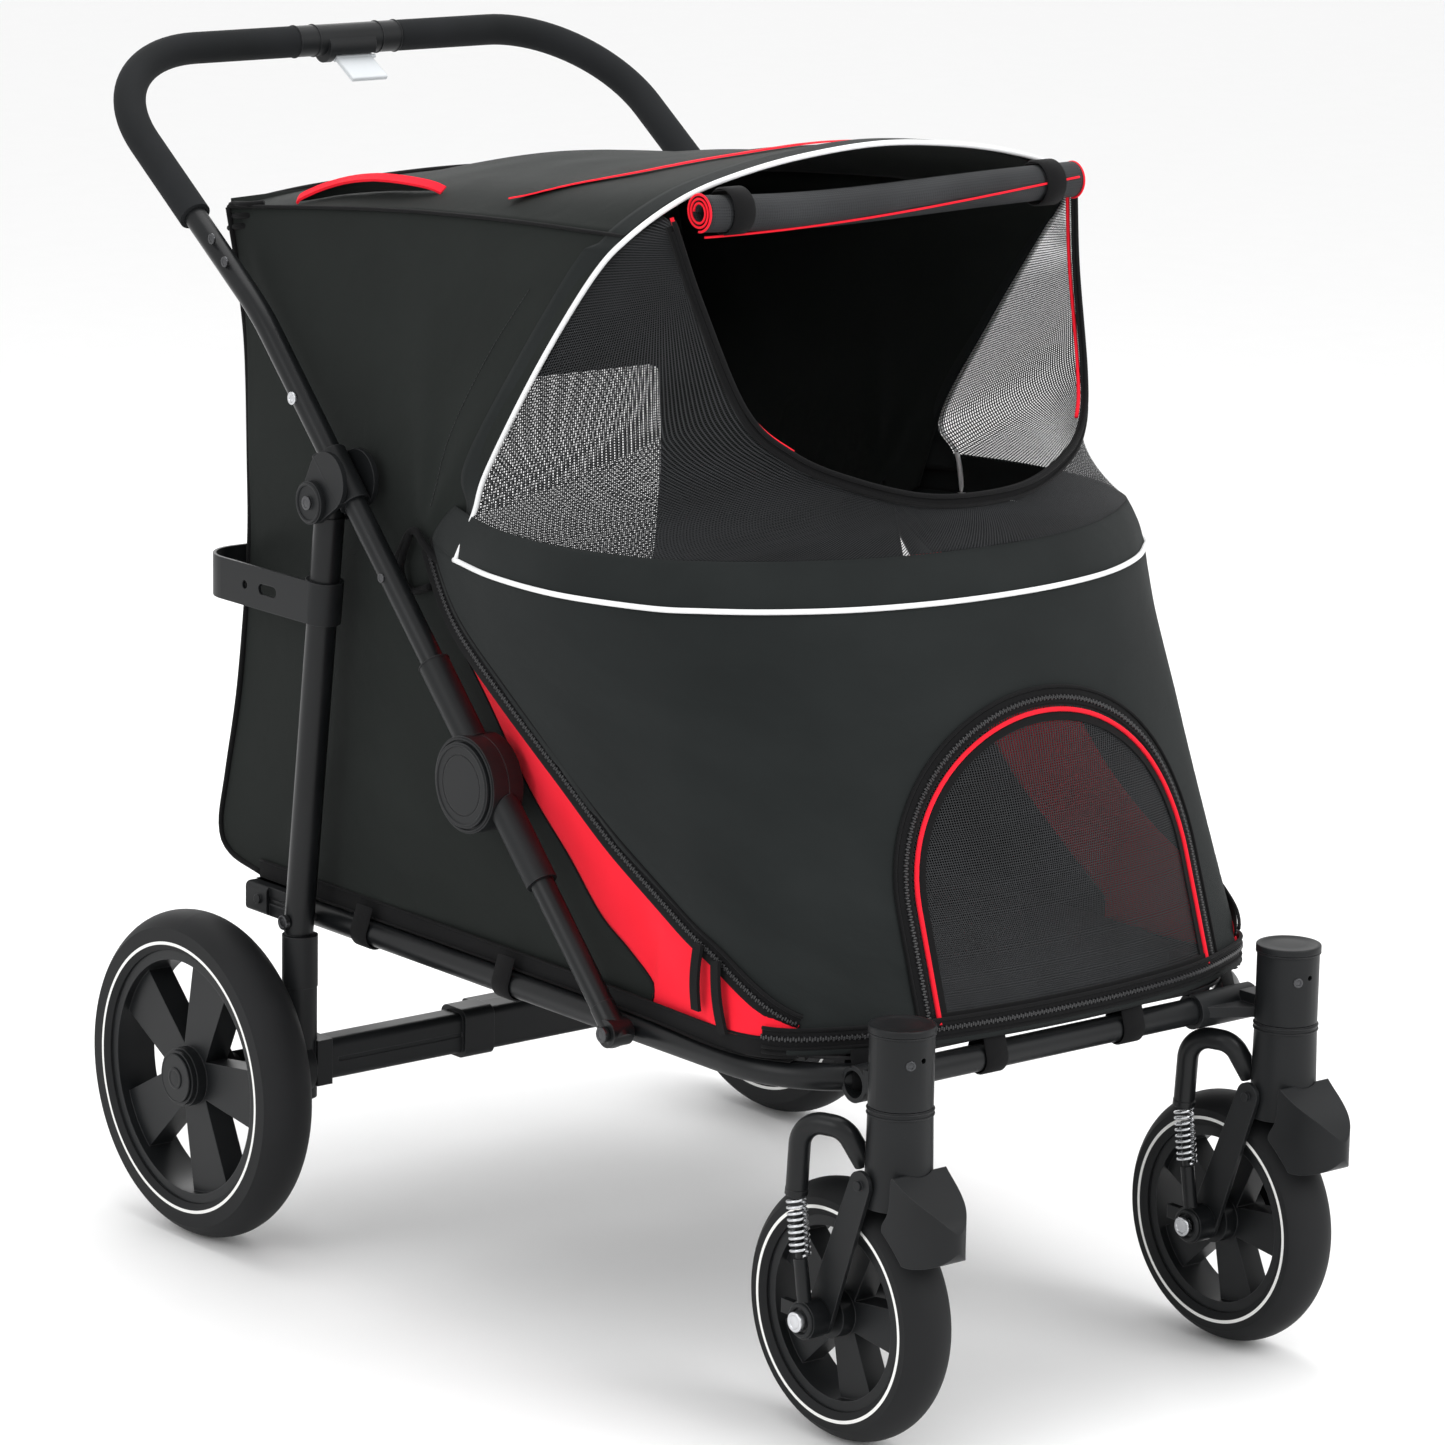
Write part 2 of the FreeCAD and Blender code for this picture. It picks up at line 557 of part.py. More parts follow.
def handle():
    x = -SIDE_X
    start = at(x, side_point(FOLD_ALONG + 60))
    bend = at(x, BEND_POINT)
    corner = V(x, HANDLE_BAR.y, HANDLE_BAR.z)
    middle = V(-1, HANDLE_BAR.y, HANDLE_BAR.z)
    tube = bent_tube([start, bend, corner, middle], [260, HANDLE_CORNER_R], SIDE_TUBE_R)
    save("handle_tubes", pair(tube))

    heading = (corner - bend).normalize()
    grip_points = [bend + heading * GRIP_START, corner, V(-HUB_HALF, corner.y, corner.z)]
    path = corner_path(grip_points, [HANDLE_CORNER_R])
    grip = swept(path, GRIP_R).cut(swept(path, SIDE_TUBE_R))
    save("handle_grips", pair(grip))

    hub = cross_rod(-HUB_HALF + 0.5, HUB_HALF - 0.5, HANDLE_BAR, GRIP_R)
    chin = rod(V(-26, HANDLE_BAR.y - 2, HANDLE_BAR.z - 6), V(26, HANDLE_BAR.y - 2, HANDLE_BAR.z - 6), 15)
    hub = fused([hub, chin]).cut(cross_rod(-HUB_HALF, HUB_HALF, HANDLE_BAR, SIDE_TUBE_R))
    pocket = block(-19, 27, HANDLE_BAR.y - 24, HANDLE_BAR.y + 2, HANDLE_BAR.z - 26, HANDLE_BAR.z - 13)
    save("handle_hub", hub.cut(pocket).cut(cross_rod(-22, 31, LEVER_PIVOT, 2 + RUNNING_GAP)))

    sleeve_top = FOLD_ALONG + 112
    sleeve = rod(at(x, side_point(FOLD_ALONG + 30)), at(x, side_point(sleeve_top)), SLEEVE_R)
    core = rod(at(x, side_point(FOLD_ALONG + 60)), at(x, side_point(sleeve_top + 10)), SIDE_TUBE_R)
    disc = cross_rod(x - 16, x - 0.3, FOLD_PIVOT, DISC_R)
    lower_room = cross_rod(x - 0.3, x + 17, FOLD_PIVOT, DISC_R + 0.6)
    body = fused([sleeve, disc]).cut(lower_room).cut(core)
    body = body.cut(cross_rod(x - 13.2, x + 10, FOLD_PIVOT, 6 + RUNNING_GAP))
    save("fold_joint_upper", pair(body))
    cap = cross_rod(x - 19.5, x - 16, FOLD_PIVOT, 37)
    ring = cross_rod(x - 20, x - 18.8, FOLD_PIVOT, 27).cut(cross_rod(x - 20, x - 18.8, FOLD_PIVOT, 25.6))
    caps = pair(cap.cut(ring))

    low, high = side_point(CLAMP_ALONG - 24), side_point(CLAMP_ALONG + 30)
    clamp = rod(at(x, low), at(x, high), SIDE_TUBE_R + 3.5)
    ears = []
    for x0 in (x - 19, x + 14.2):
        ears.append(link_plate(CLAMP_PIVOT, side_point(CLAMP_ALONG + 2), 19, 26, x0, x0 + 4.8))
    webs = [rod(at(x0 + 2.4, low), at(x0 + 2.4, high), 3.5) for x0 in (x - 18, x + 13.2)]
    clamp = fused([clamp] + ears + webs)
    clamp = clamp.cut(rod(at(x, side_point(400)), at(x, side_point(700)), SIDE_TUBE_R))
    save("leg_clamps", pair(clamp))
    knob = cross_rod(x - 24, x - 19, CLAMP_PIVOT, 19)
    boss = cross_rod(x - 25, x - 24, CLAMP_PIVOT, 6)
    save("pivot_caps", caps + pair(fused([knob, boss])))


LEVER_PIVOT = V(0, HANDLE_BAR.y - 8, HANDLE_BAR.z - 17)


def release_lever():
    """The light squeeze lever under the handle hub."""
    root = V(0, LEVER_PIVOT.y, LEVER_PIVOT.z)
    paddle = Part.makeBox(41, 34, 5, V(-16, -34, -2.5))
    paddle = paddle.makeFillet(2, [e for e in paddle.Edges if e.Length > 4.5])
    barrel = cross_rod(-16, 25, ORIGIN, 3.5)
    trunnions = cross_rod(-21, 30, ORIGIN, 2)
    lever = fused([paddle, barrel, trunnions])
    lever.rotate(ORIGIN, X_AXIS, 32)
    lever.translate(V(0, root.y, root.z))
    save("release_lever", lever)


# ---- cabin ----
HEM_PLAN = [(260, -375), (252, -402), (234, -426), (195, -447), (130, -461), (60, -469), (0, -471)]
KNEE_PLAN = [(258, -115), (266, -200), (258, -290), (222, -362), (166, -398), (95, -418), (0, -425)]
TIP_PLAN = [(259, 26), (280, -75), (287, -160), (258, -268), (206, -326), (122, -373), (0, -391)]
BELT_PLAN = [(259, 76), (290, -40), (298, -140), (268, -249), (212, -308), (127, -353), (0, -371)]
BAND_PLAN = [(258, 56), (287, -45), (294, -135), (262, -238), (206, -294), (122, -336), (0, -352)]
HOOP_PLAN = [(252, -176), (170, -194), (85, -200), (0, -202)]
DOOR_X = 25.0
DOOR_HALF = 160.0
DOOR_SILL_Z = 338.0
DOOR_SPRING_Z = 430.0


def arch_prism(half_width, sill, y0, y1):
    """The door outline: straight jambs under a half-ellipse."""
    rise = 574 - DOOR_SPRING_Z - (DOOR_HALF - half_width)
    points = [(DOOR_X - half_width, sill)]
    steps = 24
    for i in range(steps + 1):
        turn = math.pi - math.pi * i / steps
        points.append((DOOR_X + half_width * math.cos(turn), DOOR_SPRING_Z + rise * math.sin(turn)))
    points.append((DOOR_X + half_width, sill))
    return front_plate(points, y0, y1)


def roof_line(edge_z, crown_z, y):
    """The thin arched cross-section of the roof at one Y."""
    half = CABIN_HALF
    outer = Part.Arc(V(-half, y, edge_z), V(0, y, crown_z), V(half, y, edge_z)).toShape()
    inner = Part.Arc(
        V(-half, y, edge_z - CLOTH), V(0, y, crown_z - CLOTH), V(half, y, edge_z - CLOTH)
    ).toShape()
    return Part.Wire([
        outer,
        Part.LineSegment(V(half, y, edge_z), V(half, y, edge_z - CLOTH)).toShape(),
        inner,
        Part.LineSegment(V(-half, y, edge_z - CLOTH), V(-half, y, edge_z)).toShape(),
    ])


def cabin():
    side_outline = [
        (389, 918), (372, 860), (357, 800), (355, 615), (371, 493), (402, 346), (336, 319),
        (-240, 319), (-240, 343), (-206, 365), (-122, 426), (-66, 475), (-8, 543), (43, 600),
        (81, 662), (44, 664), (2, 741), (-67, 837), (-147, 935), (-180, 979), (40, 961), (261, 934),
    ]
    side = side_plate(side_outline, -CABIN_HALF, -CABIN_HALF + CLOTH)
    save("side_panel_left", side)
    save("side_panel_right", mirrored(side))

    red_outline = [
        (43, 598), (5, 598), (-75, 540), (-125, 500), (-205, 444), (-285, 393), (-366, 340), (-366, 322),
        (-239, 322), (-239, 342), (-205, 364), (-121, 425), (-65, 474), (-7, 542),
    ]
    red = side_plate(red_outline, -CABIN_HALF, -CABIN_HALF + CLOTH).cut(side)
    save("red_side_panels", pair(red))

    front = cloth_wall((HEM_PLAN, HEM_Z), (KNEE_PLAN, KNEE_Z), (TIP_PLAN, TIP_Z), (BELT_PLAN, BELT_Z))
    save("front_panel", front.cut(arch_prism(DOOR_HALF, DOOR_SILL_Z, -520, -300)))
    door = front.common(arch_prism(DOOR_HALF - 1.2, DOOR_SILL_Z + 1.2, -520, -300))
    save("door_flap", door)

    save("belt_band", cloth_wall((BELT_PLAN, BELT_Z + 0.3), (BAND_PLAN, BAND_TOP_Z)))

    belt_points = [V(250, 60, 655), V(281, -40, 655), V(289, -137, 655), V(260, -243, 655),
                   V(206, -300, 655), V(124, -344, 655), V(0, -362, 655)]
    belt_points += [V(-p.x, p.y, p.z) for p in reversed(belt_points[:-1])]
    belt_curve = Part.BSplineCurve()
    belt_curve.interpolate(belt_points)
    belt_wire = swept(Part.Wire([belt_curve.toShape()]), 3)
    hoop_points = [
        V(-247, 56, 650), V(-247, -158, 974), V(-110, -182, 1008), V(110, -182, 1008),
        V(247, -158, 974), V(247, 56, 650),
    ]
    hoop_wire = swept(corner_path(hoop_points, [45, 200, 200, 45]), 3)
    save("cabin_wires", [belt_wire, hoop_wire])

    gable = [(-250, 690), (-250, 980), (-190, 1001), (-120, 1013), (0, 1019),
             (120, 1013), (190, 1001), (250, 980), (250, 690)]
    mesh = cloth_wall((BAND_PLAN[3:], BAND_TOP_Z + 0.3), (HOOP_PLAN, 1020))
    mesh = mesh.common(front_plate(gable, -420, -100))
    window = [
        (-226, 978), (-212, 905), (-188, 822), (-120, 765), (-60, 747), (0, 742),
        (60, 747), (120, 765), (188, 822), (212, 905), (226, 978),
    ]
    mesh = mesh.cut(front_plate(window, -420, -100))
    corner_outline = [(40, 706), (-142, 930), (-176, 962), (-190, 930), (-215, 848), (-236, 770), (-250, 706)]
    corner = side_plate(corner_outline, -CABIN_HALF, -CABIN_HALF + CLOTH).cut(side)
    mesh = mesh.cut(side).cut(mirrored(side))
    save("window_mesh", [mesh.cut(corner).cut(mirrored(corner))] + pair(corner))

    roll = cross_rod(-212, 212, V(0, -224, 984), 17)
    save("rolled_window_flap", roll.cut(mesh))

    roof = Part.makeLoft([roof_line(984, 1028, -182), roof_line(923, 940, 393)], True, True)
    save("roof_panel", roof.cut(side).cut(mirrored(side)))

    back = [(391, 936), (374, 858), (360, 800), (358, 615), (374, 493), (404, 350), (338, 322)]
    front_face = [(y - CLOTH, z) for y, z in reversed(back)]
    rear = side_plate(back + front_face, -CABIN_HALF + CLOTH, CABIN_HALF - CLOTH)
    under_roof = [(step * 42.5, 936 - 17 * (step / 6) ** 2) for step in range(-6, 7)]
    under_roof += [(CABIN_HALF, 310), (-CABIN_HALF, 310)]
    rear = rear.common(front_plate(under_roof, 320, 420))
    rear = rear.cut(front_plate([(-225, 545), (-225, 748), (225, 748), (225, 545)], 330, 420))
    save("rear_panel", rear)
    glass = [(358.9, 748), (357.5, 615), (367, 545), (366, 545), (356.5, 615), (357.9, 748)]
    save("rear_window_mesh", side_plate(glass, -225, 225))

    board = block(-246, 246, -452, 330, FLOOR_Z, FLOOR_Z + 3)
    board = board.makeFillet(90, [e for e in board.Edges if e.Vertexes[0].Y < -400 and e.Length < 5])
    save("floor_board", board)
    mat = block(-240, 240, -438, 326, FLOOR_Z + 4, FLOOR_Z + 26)
    mat = mat.makeFillet(80, [e for e in mat.Edges if e.Vertexes[0].Y < -400 and abs(e.Length - 22) < 0.1])
    save("floor_mat", mat)


os.makedirs("parts", exist_ok=True)
for wheel_name, wheel_side in (("left", -1), ("right", 1)):
    rear_wheel(wheel_name, wheel_side)
    front_wheel(wheel_name, wheel_side)
    caster(wheel_name, wheel_side)
caster_heads()
base_frame()
rear_legs()
brake_pedal()
struts()
handle()
release_lever()
cabin()
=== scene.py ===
import json
import math

import bmesh
import bpy
import numpy as np
from mathutils import Matrix, Vector, noise


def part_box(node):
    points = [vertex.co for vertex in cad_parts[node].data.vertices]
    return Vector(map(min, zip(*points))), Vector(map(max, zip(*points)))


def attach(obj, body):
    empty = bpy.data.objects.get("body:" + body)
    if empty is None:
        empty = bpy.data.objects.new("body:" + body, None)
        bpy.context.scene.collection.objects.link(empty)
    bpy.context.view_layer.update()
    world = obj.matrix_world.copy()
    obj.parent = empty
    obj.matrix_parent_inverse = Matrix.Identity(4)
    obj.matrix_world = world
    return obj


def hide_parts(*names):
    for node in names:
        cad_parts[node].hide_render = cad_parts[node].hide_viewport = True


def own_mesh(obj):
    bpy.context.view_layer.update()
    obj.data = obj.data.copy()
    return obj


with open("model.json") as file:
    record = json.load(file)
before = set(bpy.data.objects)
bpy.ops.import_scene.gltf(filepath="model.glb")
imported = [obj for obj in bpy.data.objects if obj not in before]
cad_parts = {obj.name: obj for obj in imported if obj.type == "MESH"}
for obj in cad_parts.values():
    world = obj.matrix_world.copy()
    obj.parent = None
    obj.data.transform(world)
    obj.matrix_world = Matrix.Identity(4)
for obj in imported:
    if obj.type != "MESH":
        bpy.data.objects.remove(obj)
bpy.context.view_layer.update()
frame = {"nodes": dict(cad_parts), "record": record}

# Folding pet stroller. Metres, +Z up, ground at Z = 0, front towards -Y, left side at -X.

nodes = frame["nodes"]

CLOTH = 0.0012
NET_CLOTH_THICKNESS = 0.0006
HOLES_PER_METRE = 400.0
PIPING_RADIUS = 0.0024
ROLL_Y, ROLL_Z = -0.221, 0.984
ROLL_HALF = 0.205
REAR_WINDOW_X = 0.225
REAR_WINDOW_LOW, REAR_WINDOW_HIGH = 0.545, 0.748
HEM_Z = 0.335
BELT_Z = 0.667
BAND_TOP_Z = 0.705
SIDE_X = 0.2535
DOOR_X = 0.025
DOOR_HALF = 0.160
DOOR_SILL_Z = 0.338
DOOR_SPRING_Z = 0.430
DOOR_CROWN_Z = 0.574
TUBE_X = 0.288
STRUT_PIVOT = Vector((0, -0.230, 0.305))
SIDE_ANGLE = math.radians(46)
FOLD_JOINT = Vector((0, -0.03802, 0.48105))
CLAMP_JOINT = Vector((0, 0.18193, 0.69126))
REAR_AXLE = Vector((0, 0.310, 0.150))
FRONT_AXLE = Vector((0, -0.453, 0.110))
CASTER = Vector((0.216, -0.510, 0.298))
SIDES = (("left", -1), ("right", 1))
CABIN_MIDDLE = (0, 0, 0.6)
HANDLE_BAR = (0.5709, 1.043)
UP = (0, 0, 1)
MAT_STEPS = 16
MAT_SWELL = 0.0055


# ---- material node groups ----
def new_group(name, inputs, outputs):
    group = bpy.data.node_groups.new(name, "ShaderNodeTree")
    for label, kind, value in inputs:
        socket = group.interface.new_socket(label, in_out="INPUT", socket_type=kind)
        if value is not None:
            socket.default_value = value
    for label, kind in outputs:
        group.interface.new_socket(label, in_out="OUTPUT", socket_type=kind)
    start = group.nodes.new("NodeGroupInput")
    end = group.nodes.new("NodeGroupOutput")
    return group, start, end


def add(tree, kind, **settings):
    node = tree.nodes.new("ShaderNode" + kind)
    for key, value in settings.items():
        setattr(node, key, value)
    return node


def feed(tree, socket, value):
    """Links the socket to another one, or gives it a plain value."""
    if isinstance(value, bpy.types.NodeSocket):
        tree.links.new(value, socket)
    else:
        socket.default_value = value


def maths(tree, operation, first, second=None):
    node = add(tree, "Math", operation=operation)
    for slot_index, value in enumerate((first, second)):
        if value is not None:
            feed(tree, node.inputs[slot_index], value)
    return node.outputs[0]


def noise_over(tree, vector, **values):
    """Smooth noise over the vector; each value is a number or a socket."""
    node = add(tree, "TexNoise")
    tree.links.new(vector, node.inputs["Vector"])
    for label, value in values.items():
        feed(tree, node.inputs[label], value)
    return node.outputs["Fac"]


def bump(tree, height, strength, distance, under=None):
    """The normal of a bumped surface, on top of the normal under it."""
    node = add(tree, "Bump")
    node.inputs["Strength"].default_value = strength
    node.inputs["Distance"].default_value = distance
    tree.links.new(height, node.inputs["Height"])
    if under is not None:
        tree.links.new(under, node.inputs["Normal"])
    return node.outputs["Normal"]


def weave_group():
    """Plain woven cloth: threads over and under, and slow shade changes."""
    group, start, end = new_group(
        "plain weave",
        [("Vector", "NodeSocketVector", None), ("Threads", "NodeSocketFloat", 1400.0)],
        [("Height", "NodeSocketFloat"), ("Shade", "NodeSocketFloat"), ("Crease", "NodeSocketFloat")],
    )
    parts = add(group, "SeparateXYZ")
    group.links.new(start.outputs["Vector"], parts.inputs[0])
    waves = []
    for axis in ("X", "Y"):
        turns = maths(group, "MULTIPLY", parts.outputs[axis], start.outputs["Threads"])
        waves.append(maths(group, "SINE", maths(group, "MULTIPLY", turns, math.tau)))
    crossing = maths(group, "MULTIPLY", waves[0], waves[1])
    height = maths(group, "MULTIPLY_ADD", crossing, 0.5)
    group.links.new(height, end.inputs["Height"])
    slow = noise_over(group, start.outputs["Vector"], Scale=9.0, Detail=5.0)
    group.links.new(slow, end.inputs["Shade"])
    soft = noise_over(group, start.outputs["Vector"], Scale=26.0, Detail=3.0, Distortion=0.8)
    group.links.new(soft, end.inputs["Crease"])
    return group


def net_group():
    """Knitted mesh: a cord grid with holes; Cord is 1 on the cords and 0 in the holes."""
    group, start, end = new_group(
        "open mesh",
        [("Vector", "NodeSocketVector", None), ("Holes", "NodeSocketFloat", 420.0),
         ("Opening", "NodeSocketFloat", 0.5)],
        [("Cord", "NodeSocketFloat"), ("Height", "NodeSocketFloat")],
    )
    parts = add(group, "SeparateXYZ")
    group.links.new(start.outputs["Vector"], parts.inputs[0])
    waves = []
    for axis in ("X", "Y"):
        turns = maths(group, "MULTIPLY", parts.outputs[axis], start.outputs["Holes"])
        wave = maths(group, "SINE", maths(group, "MULTIPLY", turns, math.pi))
        waves.append(maths(group, "ABSOLUTE", wave))
    room = maths(group, "MINIMUM", waves[0], waves[1])
    cord = maths(group, "LESS_THAN", room, start.outputs["Opening"])
    group.links.new(cord, end.inputs["Cord"])
    group.links.new(maths(group, "SUBTRACT", 1.0, room), end.inputs["Height"])
    return group


def grain_group():
    """Moulded or powder-coated surface: fine pebbles and slow patches."""
    group, start, end = new_group(
        "fine grain",
        [("Vector", "NodeSocketVector", None), ("Scale", "NodeSocketFloat", 900.0)],
        [("Height", "NodeSocketFloat"), ("Patch", "NodeSocketFloat")],
    )
    fine = noise_over(group, start.outputs["Vector"], Scale=start.outputs["Scale"], Detail=2.0)
    slow = noise_over(group, start.outputs["Vector"], Scale=14.0, Detail=6.0)
    group.links.new(fine, end.inputs["Height"])
    group.links.new(slow, end.inputs["Patch"])
    return group


def wear_group():
    """Edge wear: Rub is 1 on sharp edges, broken up by noise; Rounded is the softened normal."""
    group, start, end = new_group(
        "edge wear",
        [("Vector", "NodeSocketVector", None), ("Radius", "NodeSocketFloat", 0.0012),
         ("Amount", "NodeSocketFloat", 0.5)],
        [("Rub", "NodeSocketFloat"), ("Rounded", "NodeSocketVector")],
    )
    bevel = add(group, "Bevel", samples=4)
    group.links.new(start.outputs["Radius"], bevel.inputs["Radius"])
    shape = add(group, "NewGeometry")
    same = add(group, "VectorMath", operation="DOT_PRODUCT")
    group.links.new(bevel.outputs["Normal"], same.inputs[0])
    group.links.new(shape.outputs["Normal"], same.inputs[1])
    bend = maths(group, "MULTIPLY", maths(group, "SUBTRACT", 1.0, same.outputs["Value"]), 7.0)
    chips = noise_over(group, start.outputs["Vector"], Scale=60.0, Detail=5.0)
    broken = maths(group, "MULTIPLY", bend, chips)
    rub = add(group, "Math", operation="MULTIPLY", use_clamp=True)
    group.links.new(broken, rub.inputs[0])
    group.links.new(start.outputs["Amount"], rub.inputs[1])
    group.links.new(rub.outputs[0], end.inputs["Rub"])
    group.links.new(bevel.outputs["Normal"], end.inputs["Rounded"])
    return group


def ring_group():
    """A painted ring round an axle that lies along X."""
    group, start, end = new_group(
        "ring stripe",
        [("Vector", "NodeSocketVector", None), ("Radius", "NodeSocketFloat", 0.12),
         ("Half width", "NodeSocketFloat", 0.001)],
        [("Mask", "NodeSocketFloat")],
    )
    parts = add(group, "SeparateXYZ")
    group.links.new(start.outputs["Vector"], parts.inputs[0])
    squares = [maths(group, "MULTIPLY", parts.outputs[axis], parts.outputs[axis]) for axis in ("Y", "Z")]
    distance = maths(group, "SQRT", maths(group, "ADD", squares[0], squares[1]))
    off = maths(group, "ABSOLUTE", maths(group, "SUBTRACT", distance, start.outputs["Radius"]))
    group.links.new(maths(group, "LESS_THAN", off, start.outputs["Half width"]), end.inputs["Mask"])
    return group


WEAVE = weave_group()
NET = net_group()
GRAIN = grain_group()
WEAR = wear_group()
RING = ring_group()


def blank_material(name, roughness, **settings):
    material = bpy.data.materials.new(name)
    material.use_nodes = True
    tree = material.node_tree
    surface = tree.nodes["Principled BSDF"]
    surface.inputs["Roughness"].default_value = roughness
    for key, value in settings.items():
        surface.inputs[key.replace("_", " ")].default_value = value
    return material, tree, surface


def place_group(tree, group, vector, **values):
    node = add(tree, "Group")
    node.node_tree = group
    tree.links.new(vector, node.inputs["Vector"])
    for key, value in values.items():
        node.inputs[key.replace("_", " ")].default_value = value
    return node


def two_tone(tree, mask, low, high):
    """Low where the mask is 0 and high where it is 1; each is a colour or a socket."""
    mix = add(tree, "Mix", data_type="RGBA")
    tree.links.new(mask, mix.inputs["Factor"])
    for label, tone in (("A", low), ("B", high)):
        plain = isinstance(tone, tuple)
        feed(tree, mix.inputs[label], (*tone, 1) if plain else tone)
    return mix.outputs["Result"]


def span(tree, value, low, high):
    """Stretches the middle of a noise to the range from low to high."""
    node = add(tree, "MapRange")
    for label, number in (("From Min", 0.3), ("From Max", 0.7), ("To Min", low), ("To Max", high)):
        node.inputs[label].default_value = number
    tree.links.new(value, node.inputs["Value"])
    return node.outputs["Result"]


def woven(name, low, high, threads=1400.0, roughness=0.78, crease=0.0016, thread_depth=0.0001):
    """Cloth with a weave that follows the sheet's own map, in metres."""
    material, tree, surface = blank_material(name, roughness, Sheen_Weight=0.03, Sheen_Roughness=0.5)
    surface.inputs["Specular IOR Level"].default_value = 0.12
    where = add(tree, "UVMap").outputs["UV"]
    cloth = place_group(tree, WEAVE, where, Threads=threads)
    shade = cloth.outputs["Shade"]
    tree.links.new(two_tone(tree, span(tree, shade, 0, 1), low, high), surface.inputs["Base Color"])
    tree.links.new(span(tree, shade, roughness - 0.05, roughness + 0.08), surface.inputs["Roughness"])
    thread = bump(tree, cloth.outputs["Height"], 0.5, thread_depth)
    tree.links.new(bump(tree, cloth.outputs["Crease"], 0.35, crease, thread), surface.inputs["Normal"])
    return material


def netting(name, low, high, opening, roughness=0.7):
    """Mesh cloth, see-through between its cords; a larger opening number leaves smaller holes."""
    material, tree, surface = blank_material(name, roughness)
    where = add(tree, "UVMap").outputs["UV"]
    net = place_group(tree, NET, where, Holes=HOLES_PER_METRE, Opening=opening)
    grain = place_group(tree, GRAIN, where, Scale=300.0)
    colour = two_tone(tree, span(tree, grain.outputs["Patch"], 0, 1), low, high)
    tree.links.new(colour, surface.inputs["Base Color"])
    tree.links.new(net.outputs["Cord"], surface.inputs["Alpha"])
    tree.links.new(bump(tree, net.outputs["Height"], 0.7, 0.0005), surface.inputs["Normal"])
    return material


def hard(name, low, high, roughness, grain=900.0, depth=0.00004, wear=0.35, rub=(0.09, 0.09, 0.095),
         **settings):
    """Painted metal or moulded plastic: grain, patchy gloss and rubbed edges."""
    material, tree, surface = blank_material(name, roughness, **settings)
    where = add(tree, "TexCoord").outputs["Object"]
    skin = place_group(tree, GRAIN, where, Scale=grain)
    edge = place_group(tree, WEAR, where, Amount=wear)
    body = two_tone(tree, span(tree, skin.outputs["Patch"], 0, 1), low, high)
    tree.links.new(two_tone(tree, edge.outputs["Rub"], body, rub), surface.inputs["Base Color"])
    gloss = span(tree, skin.outputs["Patch"], roughness - 0.05, roughness + 0.07)
    tree.links.new(gloss, surface.inputs["Roughness"])
    rough_skin = bump(tree, skin.outputs["Height"], 0.4, depth, edge.outputs["Rounded"])
    tree.links.new(rough_skin, surface.inputs["Normal"])
    return material


def tyre_rubber(name, centre, radius):
    """Matte tyre with a thin pale ring on its walls."""
    material, tree, surface = blank_material(name, 0.62, Specular_IOR_Level=0.2)
    where = add(tree, "TexCoord").outputs["Object"]
    move = add(tree, "Mapping")
    move.inputs["Location"].default_value = (0, -centre.y, -centre.z)
    tree.links.new(where, move.inputs["Vector"])
    stripe = place_group(tree, RING, move.outputs["Vector"], Radius=radius, Half_width=0.0014)
    skin = place_group(tree, GRAIN, where, Scale=700.0)
    patch = skin.outputs["Patch"]
    rubber = two_tone(tree, span(tree, patch, 0, 1), (0.0065, 0.007, 0.0075), (0.012, 0.0125, 0.0135))
    painted = two_tone(tree, stripe.outputs["Mask"], rubber, (0.82, 0.82, 0.80))
    tree.links.new(painted, surface.inputs["Base Color"])
    tree.links.new(span(tree, patch, 0.56, 0.70), surface.inputs["Roughness"])
    tree.links.new(bump(tree, skin.outputs["Height"], 0.4, 0.0001), surface.inputs["Normal"])
    return material


SHELL_CLOTH = woven("black shell cloth", (0.0075, 0.0095, 0.0085), (0.0125, 0.0150, 0.0138))
# Painted light: this is the shell's black fabric made slightly lighter, to stand in for the light falling on
# the front. The front panel, the belt band and the hoop facing use it.
FRONT_CLOTH_PAINTED_LIGHT = woven("painted_light front cloth", (0.0095, 0.0115, 0.0115), (0.0155, 0.0180, 0.0180))
RED_CLOTH = woven("red cloth", (0.86, 0.010, 0.026), (0.95, 0.018, 0.040), crease=0.0008)
TAPE = woven("black tape", (0.003, 0.003, 0.0034), (0.0065, 0.0065, 0.007), threads=900.0,
             thread_depth=0.0003)
RED_TAPE = woven("red binding", (0.80, 0.010, 0.024), (0.92, 0.016, 0.036), threads=900.0,
                 thread_depth=0.0003)
WHITE_PIPING = woven("reflective piping", (0.78, 0.79, 0.80), (0.90, 0.90, 0.90), threads=1000.0,
                     roughness=0.45)
MAT_CLOTH = woven("grey mat cloth", (0.030, 0.032, 0.034), (0.046, 0.048, 0.050), threads=700.0,
                  thread_depth=0.0004)
NET_CLOTH = netting("black window mesh", (0.005, 0.006, 0.0075), (0.012, 0.0135, 0.016), 0.44)
ROLL_CLOTH = netting("rolled mesh", (0.010, 0.011, 0.013), (0.026, 0.028, 0.031), 0.80)
THREAD = woven("grey thread", (0.030, 0.032, 0.032), (0.045, 0.048, 0.048), threads=1500.0)
FRAME_PAINT = hard("satin black tube", (0.0045, 0.005, 0.0056), (0.008, 0.0088, 0.0096), 0.33, wear=0.25,
                   Specular_IOR_Level=0.24)
PLASTIC = hard("black moulding", (0.006, 0.0066, 0.0072), (0.010, 0.011, 0.012), 0.45, grain=1400.0,
               depth=0.00006, Specular_IOR_Level=0.22)
RIM_PLASTIC = hard("wheel moulding", (0.0055, 0.006, 0.0066), (0.010, 0.011, 0.012), 0.42, grain=1200.0,
                   Specular_IOR_Level=0.22)
